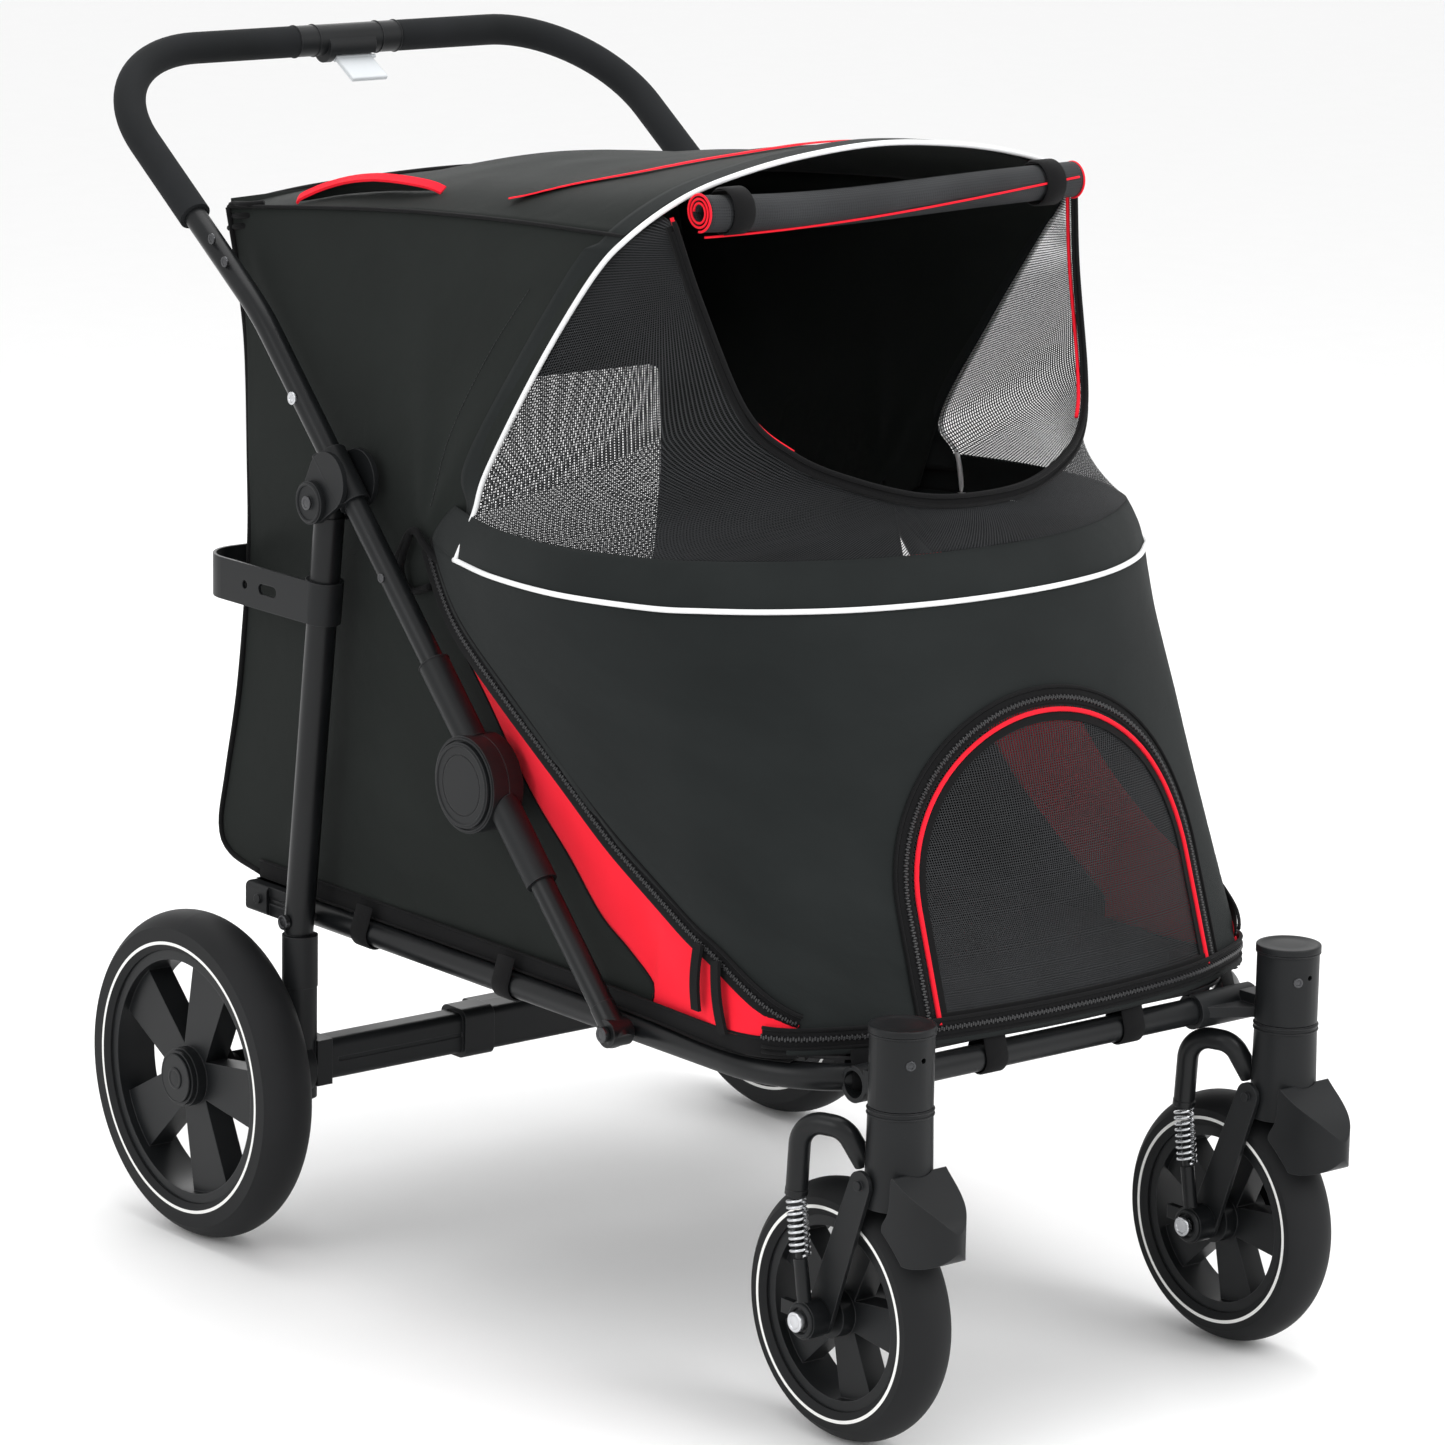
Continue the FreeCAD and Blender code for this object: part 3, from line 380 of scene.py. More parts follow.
FOAM = hard("black foam grip", (0.0085, 0.0095, 0.010), (0.015, 0.016, 0.0175), 0.85, grain=1700.0,
            depth=0.0004, wear=0.0, Specular_IOR_Level=0.15)
PALE_PLASTIC = hard("pale lever", (0.52, 0.55, 0.57), (0.62, 0.64, 0.66), 0.42, grain=1500.0, wear=0.3,
                    rub=(0.8, 0.8, 0.8))
STEEL = hard("bright steel", (0.52, 0.53, 0.55), (0.66, 0.67, 0.69), 0.24, grain=500.0, wear=0.2,
             rub=(0.85, 0.85, 0.85), Metallic=1.0)
DARK_STEEL = hard("dark rivet", (0.05, 0.052, 0.055), (0.10, 0.10, 0.105), 0.30, wear=0.4, Metallic=0.9)
BOARD = hard("black board", (0.012, 0.012, 0.013), (0.020, 0.020, 0.022), 0.6)
ZIP_COIL = hard("black zip coil", (0.010, 0.010, 0.011), (0.020, 0.020, 0.022), 0.35, wear=0.2)


# ---- mesh helpers ----
def deselect():
    bpy.ops.object.select_all(action="DESELECT")


def make_active(piece):
    deselect()
    piece.select_set(True)
    bpy.context.view_layer.objects.active = piece


def apply_modifier(piece, kind, **settings):
    modifier = piece.modifiers.new(kind.lower(), kind)
    for key, value in settings.items():
        setattr(modifier, key, value)
    make_active(piece)
    bpy.ops.object.modifier_apply(modifier=modifier.name)


def finish_piece(piece, material, body, smooth_angle=None):
    piece.data.materials.clear()
    piece.data.materials.append(material)
    make_active(piece)
    if smooth_angle is None:
        bpy.ops.object.shade_smooth()
    else:
        bpy.ops.object.shade_smooth_by_angle(angle=math.radians(smooth_angle))
    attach(piece, body)
    return piece


def raw_piece(name, vertices, faces, corner_uvs=None):
    mesh = bpy.data.meshes.new(name)
    mesh.from_pydata([tuple(v) for v in vertices], [], faces)
    if corner_uvs is not None:
        layer = mesh.uv_layers.new(name="UVMap")
        for loop in mesh.loops:
            layer.data[loop.index].uv = corner_uvs[loop.vertex_index]
    piece = bpy.data.objects.new(name, mesh)
    bpy.context.scene.collection.objects.link(piece)
    return piece


def along(points, count):
    """A smooth line through the points, cut into equal steps."""
    points = np.array(points, float)
    if len(points) > 2:
        padded = np.vstack([2 * points[0] - points[1], points, 2 * points[-1] - points[-2]])
        fine = []
        for i in range(1, len(padded) - 2):
            before, start, end, after = padded[i - 1:i + 3]
            for t in np.linspace(0, 1, 16, endpoint=False):
                fine.append(0.5 * (
                    2 * start + (end - before) * t
                    + (2 * before - 5 * start + 4 * end - after) * t * t
                    + (3 * start - before - 3 * end + after) * t ** 3
                ))
        points = np.array(fine + [padded[-2]])
    return even(points, count)


def even(points, count):
    points = np.array(points, float)
    steps = np.linalg.norm(np.diff(points, axis=0), axis=1)
    run = np.concatenate([[0], np.cumsum(steps)])
    wanted = np.linspace(0, run[-1], count)
    return np.stack([np.interp(wanted, run, points[:, k]) for k in range(3)], axis=1)


def between(first, last, count):
    """Rows from one line to the other."""
    steps = np.linspace(0, 1, count)[:, None, None]
    return (1 - steps) * np.array(first)[None] + steps * np.array(last)[None]


def both_sides(points):
    """The points out to the middle, and back down the other side."""
    points = [tuple(p) for p in points]
    return points + [(-x, y, z) for x, y, z in reversed(points[:-1])]


def same_way(direction, count):
    """The same direction at each of a line's points."""
    return np.tile(direction, (count, 1))


def sheet_map(rows):
    """Each point's place on the flat cloth, in metres."""
    across = np.linalg.norm(np.diff(rows, axis=1), axis=2).mean(axis=0)
    up = np.linalg.norm(np.diff(rows, axis=0), axis=2).mean(axis=1)
    u = np.concatenate([[0], np.cumsum(across)])
    v = np.concatenate([[0], np.cumsum(up)])
    return np.stack(np.meshgrid(u, v), axis=2).reshape(-1, 2), u[-1], v[-1]


def grid_faces(height, width):
    return [(a, a + 1, a + width + 1, a + width)
            for j in range(height - 1) for a in range(j * width, (j + 1) * width - 1)]


def cabin_cloth(name, rows, material, inside, keep=None, thickness=CLOTH):
    """A sheet of the cabin's cloth through rows of points. inside is a point that its outer face looks away
    from, and keep(x, z) says which of its faces stay."""
    rows = np.array(rows, float)
    points = rows.reshape(-1, 3)
    faces = grid_faces(*rows.shape[:2])
    if keep is not None:
        faces = [face for face in faces if keep(*points[list(face)].mean(axis=0)[[0, 2]])]
    uvs, flat_width, flat_height = sheet_map(rows)
    piece = raw_piece(name, points, faces, uvs)
    tidy_mesh(piece, inside)
    thicken(piece, material, "chassis", thickness)
    return squash_with_fold(piece)


def tidy_mesh(piece, away_from):
    """Drops loose points and turns the faces away from a point inside."""
    work = bmesh.new()
    work.from_mesh(piece.data)
    loose = [v for v in work.verts if not v.link_faces]
    bmesh.ops.delete(work, geom=loose, context="VERTS")
    bmesh.ops.recalc_face_normals(work, faces=work.faces)
    score = sum(f.normal.dot(f.calc_center_median() - Vector(away_from)) * f.calc_area() for f in work.faces)
    if score < 0:
        bmesh.ops.reverse_faces(work, faces=work.faces)
    work.to_mesh(piece.data)
    work.free()


def thicken(piece, material, body, thickness=CLOTH):
    """Gives the cloth its thickness, its material and its body. Declares its flat cut, grown
    to hold the cloth's area.
    """
    apply_modifier(piece, "SOLIDIFY", thickness=thickness, offset=-1.0, use_even_offset=False)
    finish_piece(piece, material, body)


def tube_mesh(points, radius, sides=8):
    """Points and faces of a round cord along a line."""
    points = [Vector(p) for p in points]
    count = len(points)
    vertices, faces, uvs = [], [], []
    side = None
    run = 0.0
    for i, point in enumerate(points):
        heading = (points[min(i + 1, count - 1)] - points[max(i - 1, 0)]).normalized()
        if side is None:
            side = heading.orthogonal().normalized()
        side = (side - heading * side.dot(heading)).normalized()
        other = heading.cross(side)
        run += (point - points[i - 1]).length if i else 0
        for k in range(sides):
            turn = math.tau * k / sides
            vertices.append(point + (side * math.cos(turn) + other * math.sin(turn)) * radius)
            uvs.append((run, radius * turn))
    for i in range(count - 1):
        a, b = i * sides, (i + 1) * sides
        for k in range(sides):
            m = (k + 1) % sides
            faces.append((a + k, a + m, b + m, b + k))
    faces.append(tuple(reversed(range(sides))))
    faces.append(tuple(range((count - 1) * sides, count * sides)))
    return vertices, faces, uvs


def merged(name, parts):
    """One piece from many (points, faces, map) parts."""
    vertices, faces, uvs = [], [], []
    for points, rings, maps in parts:
        faces += [tuple(k + len(vertices) for k in ring) for ring in rings]
        vertices += points
        uvs += maps
    return raw_piece(name, vertices, faces, uvs)


def squash_with_fold(piece):
    """Gives a piece of the cabin a mesh of its own."""
    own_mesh(piece)
    return piece


def trim_cord(name, lines, radius, material=TAPE, body="chassis", sides=8):
    """One or more round cords, such as piping, sewn to the cabin as one piece."""
    piece = merged(name, [tube_mesh(line, radius, sides) for line in lines])
    return squash_with_fold(finish_piece(piece, material, body))


def strip_mesh(points, ups, width, thick):
    """A flat strip along a line; ups are the directions its face looks."""
    vertices, uvs, faces = [], [], []
    count = len(points)
    run = 0.0
    for i in range(count):
        point, up = Vector(points[i]), Vector(ups[i]).normalized()
        heading = (Vector(points[min(i + 1, count - 1)]) - Vector(points[max(i - 1, 0)])).normalized()
        side = heading.cross(up).normalized()
        up = side.cross(heading)
        run += (point - Vector(points[i - 1])).length if i else 0
        for across, lift in ((-0.5, 0), (-0.42, 1), (0.42, 1), (0.5, 0)):
            vertices.append(point + side * (across * width) + up * (lift * thick))
            uvs.append((run, across * width + lift * thick))
    for i in range(count - 1):
        a, b = 4 * i, 4 * i + 4
        for k in range(4):
            m = (k + 1) % 4
            faces.append((a + k, b + k, b + m, a + m))
    faces.append((0, 1, 2, 3))
    end = 4 * (count - 1)
    faces.append((end + 3, end + 2, end + 1, end))
    return vertices, faces, uvs


def strips(name, lines, width, thick, material, body):
    """Tapes and webbing; lines holds (points, ups) pairs."""
    piece = merged(name, [strip_mesh(points, ups, width, thick) for points, ups in lines])
    return finish_piece(piece, material, body, 40)


def trim_tape(name, lines, width, thick, material=TAPE, body="chassis"):
    """Tape sewn to the cabin."""
    return squash_with_fold(strips(name, lines, width, thick, material, body))


def zip_teeth(name, lines):
    """Two rows of small interlocking teeth along each line."""
    pitch, width, height = 0.0022, 0.0042, 0.0016
    vertices, faces = [], []
    for points, ups in lines:
        length = np.linalg.norm(np.diff(points, axis=0), axis=1).sum()
        count = max(3, int(length / pitch))
        path, look = even(points, count), even(ups, count)
        for i in range(count - 1):
            middle = Vector(path[i])
            heading = Vector(path[i + 1] - path[i]).normalized()
            up = Vector(look[i]).normalized()
            side = heading.cross(up).normalized()
            up = side.cross(heading)
            shift = side * (width * (0.12 if i % 2 else -0.12))
            half = heading * (pitch * 0.34)
            base = len(vertices)
            for lift, reach in ((0.0, 0.5), (height, 0.34)):
                for a, b in ((-1, -1), (1, -1), (1, 1), (-1, 1)):
                    vertices.append(middle + shift + half * a + side * (width * reach * b) + up * lift)
            for quad in ((0, 1, 5, 4), (1, 2, 6, 5), (2, 3, 7, 6), (3, 0, 4, 7), (4, 5, 6, 7), (3, 2, 1, 0)):
                faces.append(tuple(base + k for k in quad))
    piece = raw_piece(name, vertices, faces, [(v.y, v.z) for v in vertices])
    return squash_with_fold(finish_piece(piece, ZIP_COIL, "chassis", 30))


def stitch_lines(name, lines):
    """Rows of short thread stitches standing just off the cloth."""
    length, gap, radius = 0.0032, 0.0016, 0.00035
    stitches = []
    for points, ups in lines:
        total = np.linalg.norm(np.diff(points, axis=0), axis=1).sum()
        count = max(2, int(total / (length + gap)))
        path, look = even(points, 2 * count + 1), even(ups, 2 * count + 1)
        for i in range(count):
            start, end = Vector(path[2 * i]), Vector(path[2 * i]).lerp(Vector(path[2 * i + 2]), 0.66)
            lift = Vector(look[2 * i]).normalized() * radius * 0.8
            stitches.append(tube_mesh([start, (start + end) / 2 + lift, end], radius, 4))
    return squash_with_fold(finish_piece(merged(name, stitches), THREAD, "chassis"))


# ---- cabin surfaces ----
def side_bulge(y, z):
    """How far the side cloth stands out from flat, with its soft tension folds."""
    middle = math.exp(-(((y - 0.16) / 0.20) ** 2) - (((z - 0.60) / 0.26) ** 2))
    fold = 0.0
    for anchor_y, anchor_z, angle, size in (
        (0.085, 0.672, 2.15, 1.0), (0.085, 0.672, 1.55, 0.7), (0.36, 0.90, -2.3, 0.8), (0.35, 0.62, 2.7, 0.5),
        (0.30, 0.34, 2.2, 0.6),
    ):
        along_fold = (y - anchor_y) * math.cos(angle) + (z - anchor_z) * math.sin(angle)
        off = (y - anchor_y) * math.sin(angle) - (z - anchor_z) * math.cos(angle)
        reach = max(0.0, min(1.0, along_fold / 0.03)) * math.exp(-max(0.0, along_fold) / 0.12)
        fold += size * reach * math.exp(-(off / (0.006 + 0.10 * max(0.0, along_fold))) ** 2)
    slow = noise.noise(Vector((y * 5, z * 5, 1.3))) * 0.004
    return 0.006 * middle + 0.0055 * fold + slow * 0.7


HEM_PLAN = [(0.256, 0.080), (0.258, -0.10), (0.262, -0.25), (0.270, -0.340), (0.268, -0.385), (0.250, -0.415),
            (0.200, -0.440), (0.147, -0.457), (0.073, -0.467), (0, -0.470)]
BELT_PLAN = [(0.256, 0.080), (0.284, 0.005), (0.302, -0.075), (0.302, -0.165), (0.274, -0.249),
             (0.244, -0.284), (0.200, -0.319), (0.140, -0.349), (0.070, -0.366), (0, -0.371)]
BAND_PLAN = [(0.256, 0.044), (0.278, -0.015), (0.294, -0.085), (0.292, -0.165), (0.262, -0.240),
             (0.232, -0.272), (0.190, -0.302), (0.132, -0.331), (0.066, -0.348), (0, -0.352)]
ZIP_RUN = [(0.081, 0.664), (0.014, 0.611), (-0.064, 0.567), (-0.144, 0.512), (-0.216, 0.456), (-0.290, 0.412),
           (-0.341, 0.389), (-0.386, 0.364), (-0.415, 0.347)]
RED_RUN = [(0.050, 0.603), (-0.008, 0.543), (-0.066, 0.475), (-0.122, 0.426), (-0.165, 0.387),
           (-0.206, 0.365), (-0.240, 0.343), (-0.236, 0.322)]
HOOP = [(-0.2855, 0.004, 0.6655), (-0.271, -0.003, 0.7065), (-0.2555, 0.000, 0.741), (-0.254, -0.067, 0.837),
        (-0.250, -0.135, 0.922), (-0.240, -0.172, 0.960), (-0.205, -0.194, 0.990), (-0.155, -0.199, 1.006),
        (-0.085, -0.201, 1.018), (0, -0.203, 1.024)]
REAR_EDGE = [(0.336, 0.319), (0.386, 0.329), (0.402, 0.352), (0.391, 0.405), (0.371, 0.493), (0.356, 0.615),
             (0.356, 0.70), (0.360, 0.80), (0.372, 0.862), (0.389, 0.922)]
REAR_CURVE = along([(0, y, z) for y, z in REAR_EDGE], 160)
HEM_LINE = along(both_sides([(-x, y, 0) for x, y in HEM_PLAN]), 241)
BELT_LINE = along(both_sides([(-x, y, 0) for x, y in BELT_PLAN]), 241)


def plan_at(height):
    """The belly's outline in plan at one height, left side to right."""
    share = (height - HEM_Z) / (BELT_Z - HEM_Z)
    line = HEM_LINE * (1 - share) + BELT_LINE * share
    line[:, 2] = height
    return line


def zip_y(height):
    heights = [z for _, z in reversed(ZIP_RUN)]
    return float(np.interp(height, heights, [y for y, _ in reversed(ZIP_RUN)]))


def belly_rows(low, high, count, width):
    rows = []
    for height in np.linspace(low, high, count):
        line = plan_at(height)
        start = zip_y(height)
        if height < ZIP_RUN[-1][1]:
            start = ZIP_RUN[-1][0] + (ZIP_RUN[-1][1] - height) * 0.2
        line = line[line[:, 1] <= start + 1e-6]
        rows.append(even(line, width))
    return np.array(rows)


def belly_point(x, z):
    """The point of the belly at that x and height, for pieces on its front."""
    line = plan_at(z)
    front = line[line[:, 1] < -0.25]
    order = np.argsort(front[:, 0])
    return Vector((x, float(np.interp(x, front[order, 0], front[order, 1])), z))


def belly_normal(x, z):
    across = belly_point(x + 0.01, z) - belly_point(x - 0.01, z)
    up = belly_point(x, z + 0.01) - belly_point(x, z - 0.01)
    normal = across.cross(up).normalized()
    return normal if normal.y < 0 else -normal


def side_point(y, z, side=-1, lift=0.0):
    return Vector((side * (SIDE_X + side_bulge(y, z) + lift), y, z))


def zip_point(y, z, side=-1, lift=0.0):
    """A point on the seam between the belly and the side."""
    line = plan_at(max(z, HEM_Z))
    left = line[(line[:, 0] < 0)]
    order = np.argsort(left[:, 1])
    x = float(np.interp(y, left[order, 1], left[order, 0]))
    return Vector((-side * (x - lift), y, z))


def side_panels():
    stations = [0, 0.04, 0.10, 0.20, 0.30, 0.40, 0.46, 0.50, 0.53, 0.62, 0.73, 0.86, 1.0]
    front = [(-0.240, 0.319), (-0.240, 0.343), (-0.206, 0.365), (-0.122, 0.426), (-0.066, 0.475),
             (-0.008, 0.543), (0.045, 0.600), (0.062, 0.655), (0.026, 0.672), (0.000, 0.741),
             (-0.067, 0.837), (-0.135, 0.922), (-0.172, 0.960)]
    rear_stations = np.linspace(0, 1, len(REAR_CURVE))
    wanted = np.sort(np.concatenate([np.linspace(0, 1, 72), stations]))
    for name, side in SIDES:
        rows = []
        for v in wanted:
            fy = np.interp(v, stations, [p[0] for p in front])
            fz = np.interp(v, stations, [p[1] for p in front])
            ry = np.interp(v, rear_stations, REAR_CURVE[:, 1])
            rz = np.interp(v, rear_stations, REAR_CURVE[:, 2])
            row = []
            top = max(0.0, (v - 0.80) / 0.20) ** 2
            for u in np.linspace(0, 1, 90):
                y, z = ry + (fy - ry) * u, rz + (fz - rz) * u
                z += 0.008 * math.sin(math.pi * u) * v ** 6
                stand = side_bulge(y, z) * (1 - top) - 0.0135 * u * top
                row.append((side * (SIDE_X + stand), y, z))
            rows.append(row)
        piece = cabin_cloth("side_cloth_" + name, rows, SHELL_CLOTH, CABIN_MIDDLE)
        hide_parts("side_panel_" + name)


def roof():
    hoop = along(both_sides(HOOP[5:]), 61)
    back = np.array([
        (x, 0.390, 0.922 + 0.018 * (1 - (x / 0.2535) ** 2))
        for x in np.linspace(-SIDE_X, SIDE_X, 61)
    ])
    rows = between(back, hoop, 70)
    count = len(rows)
    for j, row in enumerate(rows):
        u = j / (count - 1)
        for point in row:
            x, y = point[0], point[1]
            rim = 1 - (abs(x) / 0.256) ** 4
            sag = 0.008 * math.sin(math.pi * u)
            ripple = 0.006 * math.sin(7.5 * u + 9 * x) * math.exp(-((x - 0.02) / 0.16) ** 2)
            ripple += 0.0035 * noise.noise(Vector((x * 9, y * 14, 4.0)))
            point[2] += sag + max(0.0, rim) * ripple * math.sin(math.pi * u)
    seams = [rows[:, 0] + (-0.0006, 0, 0.0004), rows[:, -1] + (0.0006, 0, 0.0004)]
    trim_cord("roof_side_seams", seams, 0.0017)
    piece = cabin_cloth("roof_cloth", rows, SHELL_CLOTH, CABIN_MIDDLE)
    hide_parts("roof_panel")
    return rows


def roof_height(rows, x, y):
    flat = rows.reshape(-1, 3)
    nearest = np.argmin((flat[:, 0] - x) ** 2 + (flat[:, 1] - y) ** 2)
    return float(flat[nearest, 2])


def roof_trim(rows):
    """The red line across the roof, the raised rear flap and the rear zip band."""
    def on_roof(points, lift, count):
        line = along([(x, y, 0) for x, y in points], count)
        heights = [roof_height(rows, p[0], p[1]) for p in line]
        smooth = np.convolve(np.pad(heights, 4, mode="edge"), np.ones(9) / 9, mode="valid")
        line[:, 2] = smooth + lift
        return line

    curve = on_roof([(-0.225, 0.010), (-0.190, -0.030), (-0.120, -0.085), (0, -0.118), (0.120, -0.085),
                     (0.190, -0.030), (0.225, 0.010)], 0.0016, 90)
    ups = same_way((0.0, 0.1, 1.0), len(curve))
    trim_tape("roof_red_line", [(curve, ups)], 0.0115, 0.0012, RED_TAPE, "chassis")

    inner = on_roof([(-0.240, 0.300), (-0.214, 0.262), (-0.212, 0.190), (-0.214, 0.120)], 0.001, 40)
    arch = np.sin(np.linspace(0, math.pi, 40)) ** 0.6
    lip = inner + np.stack([-0.012 * arch, 0.004 * arch, 0.012 * arch], axis=1)
    cabin_cloth("roof_flap", between(inner, lip, 8), SHELL_CLOTH, (0.3, 0.2, 0.9))
    trim_tape("roof_flap_binding", [(lip, same_way((-0.6, 0, 0.8), 40))], 0.0095, 0.0022, RED_TAPE,
              "chassis")

    lines = []
    for drop, reach, start in ((0.0, 0.0015, 0.345), (0.011, 0.003, 0.352), (0.021, 0.0045, 0.358)):
        line = [(-SIDE_X + 0.007, start, 0.930 - drop), (-SIDE_X - 0.001, start + 0.014, 0.928 - drop),
                (-SIDE_X + 0.001, 0.378 + reach, 0.926 - drop), (-0.242, 0.391 + reach, 0.924 - drop),
                (-0.15, 0.393 + reach, 0.934 - drop), (0, 0.393 + reach, 0.940 - drop)]
        lines.append(along(both_sides(line), 120))
    trim_cord("roof_rear_piping", lines, 0.0028)
    zip_line = along(both_sides([(-0.242, 0.3945, 0.918), (-0.15, 0.3955, 0.928), (0, 0.3955, 0.935)]), 90)
    zip_teeth("roof_rear_zip", [(zip_line, same_way((0, 1.0, 0.1), 90))])


def arch_line(grow=0.0, count=64):
    """The door's outline on the belly, up one side and down the other."""
    half = DOOR_HALF + grow
    rise = DOOR_CROWN_Z - DOOR_SPRING_Z + grow
    flat = [(DOOR_X - half, DOOR_SILL_Z), (DOOR_X - half, 0.385), (DOOR_X - half, DOOR_SPRING_Z)]
    turns = np.linspace(math.pi, 0, 40)
    flat += [(DOOR_X + half * math.cos(t), DOOR_SPRING_Z + rise * math.sin(t)) for t in turns[1:-1]]
    flat += [(DOOR_X + half, DOOR_SPRING_Z), (DOOR_X + half, 0.385), (DOOR_X + half, DOOR_SILL_Z)]
    line = even([(x, 0, z) for x, z in flat], count)
    return [(float(p[0]), float(p[2])) for p in line]


def on_belly(flat, lift=0.0):
    points = [belly_point(x, z) + belly_normal(x, z) * lift for x, z in flat]
    ups = [belly_normal(x, z) for x, z in flat]
    return np.array(points), np.array(ups)


def cut_by_arch(piece, outline):
    """Splits the mesh along the outline and marks the faces inside it."""
    work = bmesh.new()
    work.from_mesh(piece.data)
    layer = work.faces.layers.int.new("door")
    inside = [f for f in work.faces if f.calc_center_median().y < -0.2]
    sill = (Vector((DOOR_X, 0, outline[0][1])), Vector((0, 0, -1)))
    planes = [sill]
    for (x0, z0), (x1, z1) in zip(outline, outline[1:]):
        outside = Vector((-(z1 - z0), 0, x1 - x0)).normalized()
        planes.append((Vector((x0, 0, z0)), outside))
    for spot, outside in planes:
        geometry = set(inside)
        for face in inside:
            geometry.update(face.edges)
            geometry.update(face.verts)
        result = bmesh.ops.bisect_plane(work, geom=list(geometry), plane_co=spot, plane_no=outside,
                                        dist=1e-6)
        faces = {g for g in result["geom"] if isinstance(g, bmesh.types.BMFace)}
        inside = [f for f in faces if (f.calc_center_median() - spot).dot(outside) < 0]
    for face in inside:
        face[layer] = 1
    work.to_mesh(piece.data)
    work.free()


def keep_marked(piece, wanted):
    """Keeps the faces with that door mark, and drops the mark."""
    work = bmesh.new()
    work.from_mesh(piece.data)
    layer = work.faces.layers.int["door"]
    bmesh.ops.delete(work, geom=[f for f in work.faces if f[layer] != wanted], context="FACES")
    work.faces.layers.int.remove(work.faces.layers.int["door"])
    work.to_mesh(piece.data)
    work.free()


def belly():
    """The front cloth, its door opening and the mesh door in it."""
    rows = belly_rows(HEM_Z - 0.012, BELT_Z, 60, 150)
    for row in rows:
        for point in row:
            x, y, z = point
            share = (z - HEM_Z) / (BELT_Z - HEM_Z)
            swell = math.sin(math.pi * min(1, max(0, share)))
            ripple = 0.0022 * math.sin(11 * x + 4) * swell
            corner = math.exp(-((abs(x) - 0.15) / 0.06) ** 2 - ((z - 0.40) / 0.05) ** 2)
            ripple += 0.003 * corner * math.sin(38 * (x + z))
            ripple += 0.0022 * noise.noise(Vector((x * 8, z * 8, 7.0))) * swell
            near_door = math.hypot((x - DOOR_X) / 0.20, (z - 0.44) / 0.17)
            if near_door > 1.0:
                outward = Vector((x, y, 0)).normalized()
                fade = min(1.0, (near_door - 1) * 4)
                point[0] += outward.x * ripple * fade
                point[1] += outward.y * ripple * fade
    uvs, width, height = sheet_map(rows)
    whole = raw_piece("belly_cloth", rows.reshape(-1, 3), grid_faces(*rows.shape[:2]), uvs)
    tidy_mesh(whole, (0, 0, 0.5))
    cut_by_arch(whole, arch_line())
    net = whole.copy()
    net.data = whole.data.copy()
    net.name = "door_mesh"
    bpy.context.scene.collection.objects.link(net)
    keep_marked(whole, 0)
    keep_marked(net, 1)
    # The front panel gets the lightened black cloth, which is painted light for the light on the front.
    thicken(whole, FRONT_CLOTH_PAINTED_LIGHT, "chassis")
    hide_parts("front_panel")
    squash_with_fold(whole)
    thicken(net, NET_CLOTH, "door", thickness=NET_CLOTH_THICKNESS)
    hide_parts("door_flap")
    squash_with_fold(net)


def door_trim():
    points, ups = on_belly(arch_line(-0.0035, 120), 0.0016)
    trim_cord("door_red_piping", [points], 0.0021, RED_TAPE, "door")
    across = np.linspace(DOOR_X - 0.156, DOOR_X + 0.156, 60)
    sill, sill_ups = on_belly([(x, DOOR_SILL_Z + 0.005) for x in across], 0.0008)
    trim_tape("door_sill_tape", [(sill, sill_ups)], 0.009, 0.0012, TAPE, "door")
    inner, inner_ups = on_belly(arch_line(-0.009, 120), 0.0006)
    trim_tape("door_edge_tape", [(inner, inner_ups)], 0.007, 0.0009, TAPE, "door")

    tape, tape_ups = on_belly(arch_line(0.0075, 140), 0.0006)
    trim_tape("door_zip_tape", [(tape, tape_ups)], 0.0135, 0.0010)
    coil, coil_ups = on_belly(arch_line(0.0062, 140), 0.0014)
    zip_teeth("door_zip", [(coil, coil_ups)])
    rim, _ = on_belly(arch_line(0.0150, 140), 0.0016)
    trim_cord("door_zip_edge", [rim], 0.0016)


def hoop_stitching():
    """A row of stitches that follows the hoop across each side cloth."""
    lines = []
    for _, side in SIDES:
        run = along([(0, 0.072, 0.700), (0, 0.052, 0.760), (0, -0.002, 0.840), (0, -0.058, 0.905)], 60)
        points = np.array([side_point(p[1], p[2], side, 0.0004) for p in run])
        lines.append((points, same_way((side * 1.0, 0, 0), 60)))
    stitch_lines("hoop_stitches", lines)


def red_panels():
    for name, side in SIDES:
        upper = along([(0, y, z) for y, z in ZIP_RUN[1:]], 90)
        lower_points = [(0, y, z) for y, z in RED_RUN + [(-0.32, 0.320), (-0.372, 0.322), (-0.413, 0.334)]]
        lower = even(np.vstack([along(lower_points[:7], 60), along(lower_points[7:], 20)]), 90)
        rows = []
        for t in np.linspace(0, 1, 18):
            row = []
            for low, high in zip(lower, upper):
                y, z = low[1] * (1 - t) + high[1] * t, low[2] * (1 - t) + high[2] * t
                near_side = side_point(y, z, side, 0.0006)
                near_belly = zip_point(y, z, side, 0.0)
                blend = t if y > -0.24 else min(1.0, t + (-0.24 - y) / 0.12)
                row.append(near_side.lerp(near_belly, blend))
            rows.append(row)
        piece = cabin_cloth("red_cloth_" + name, rows, RED_CLOTH, (0, -0.2, 0.45))
        if side < 0:
            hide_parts("red_side_panels")


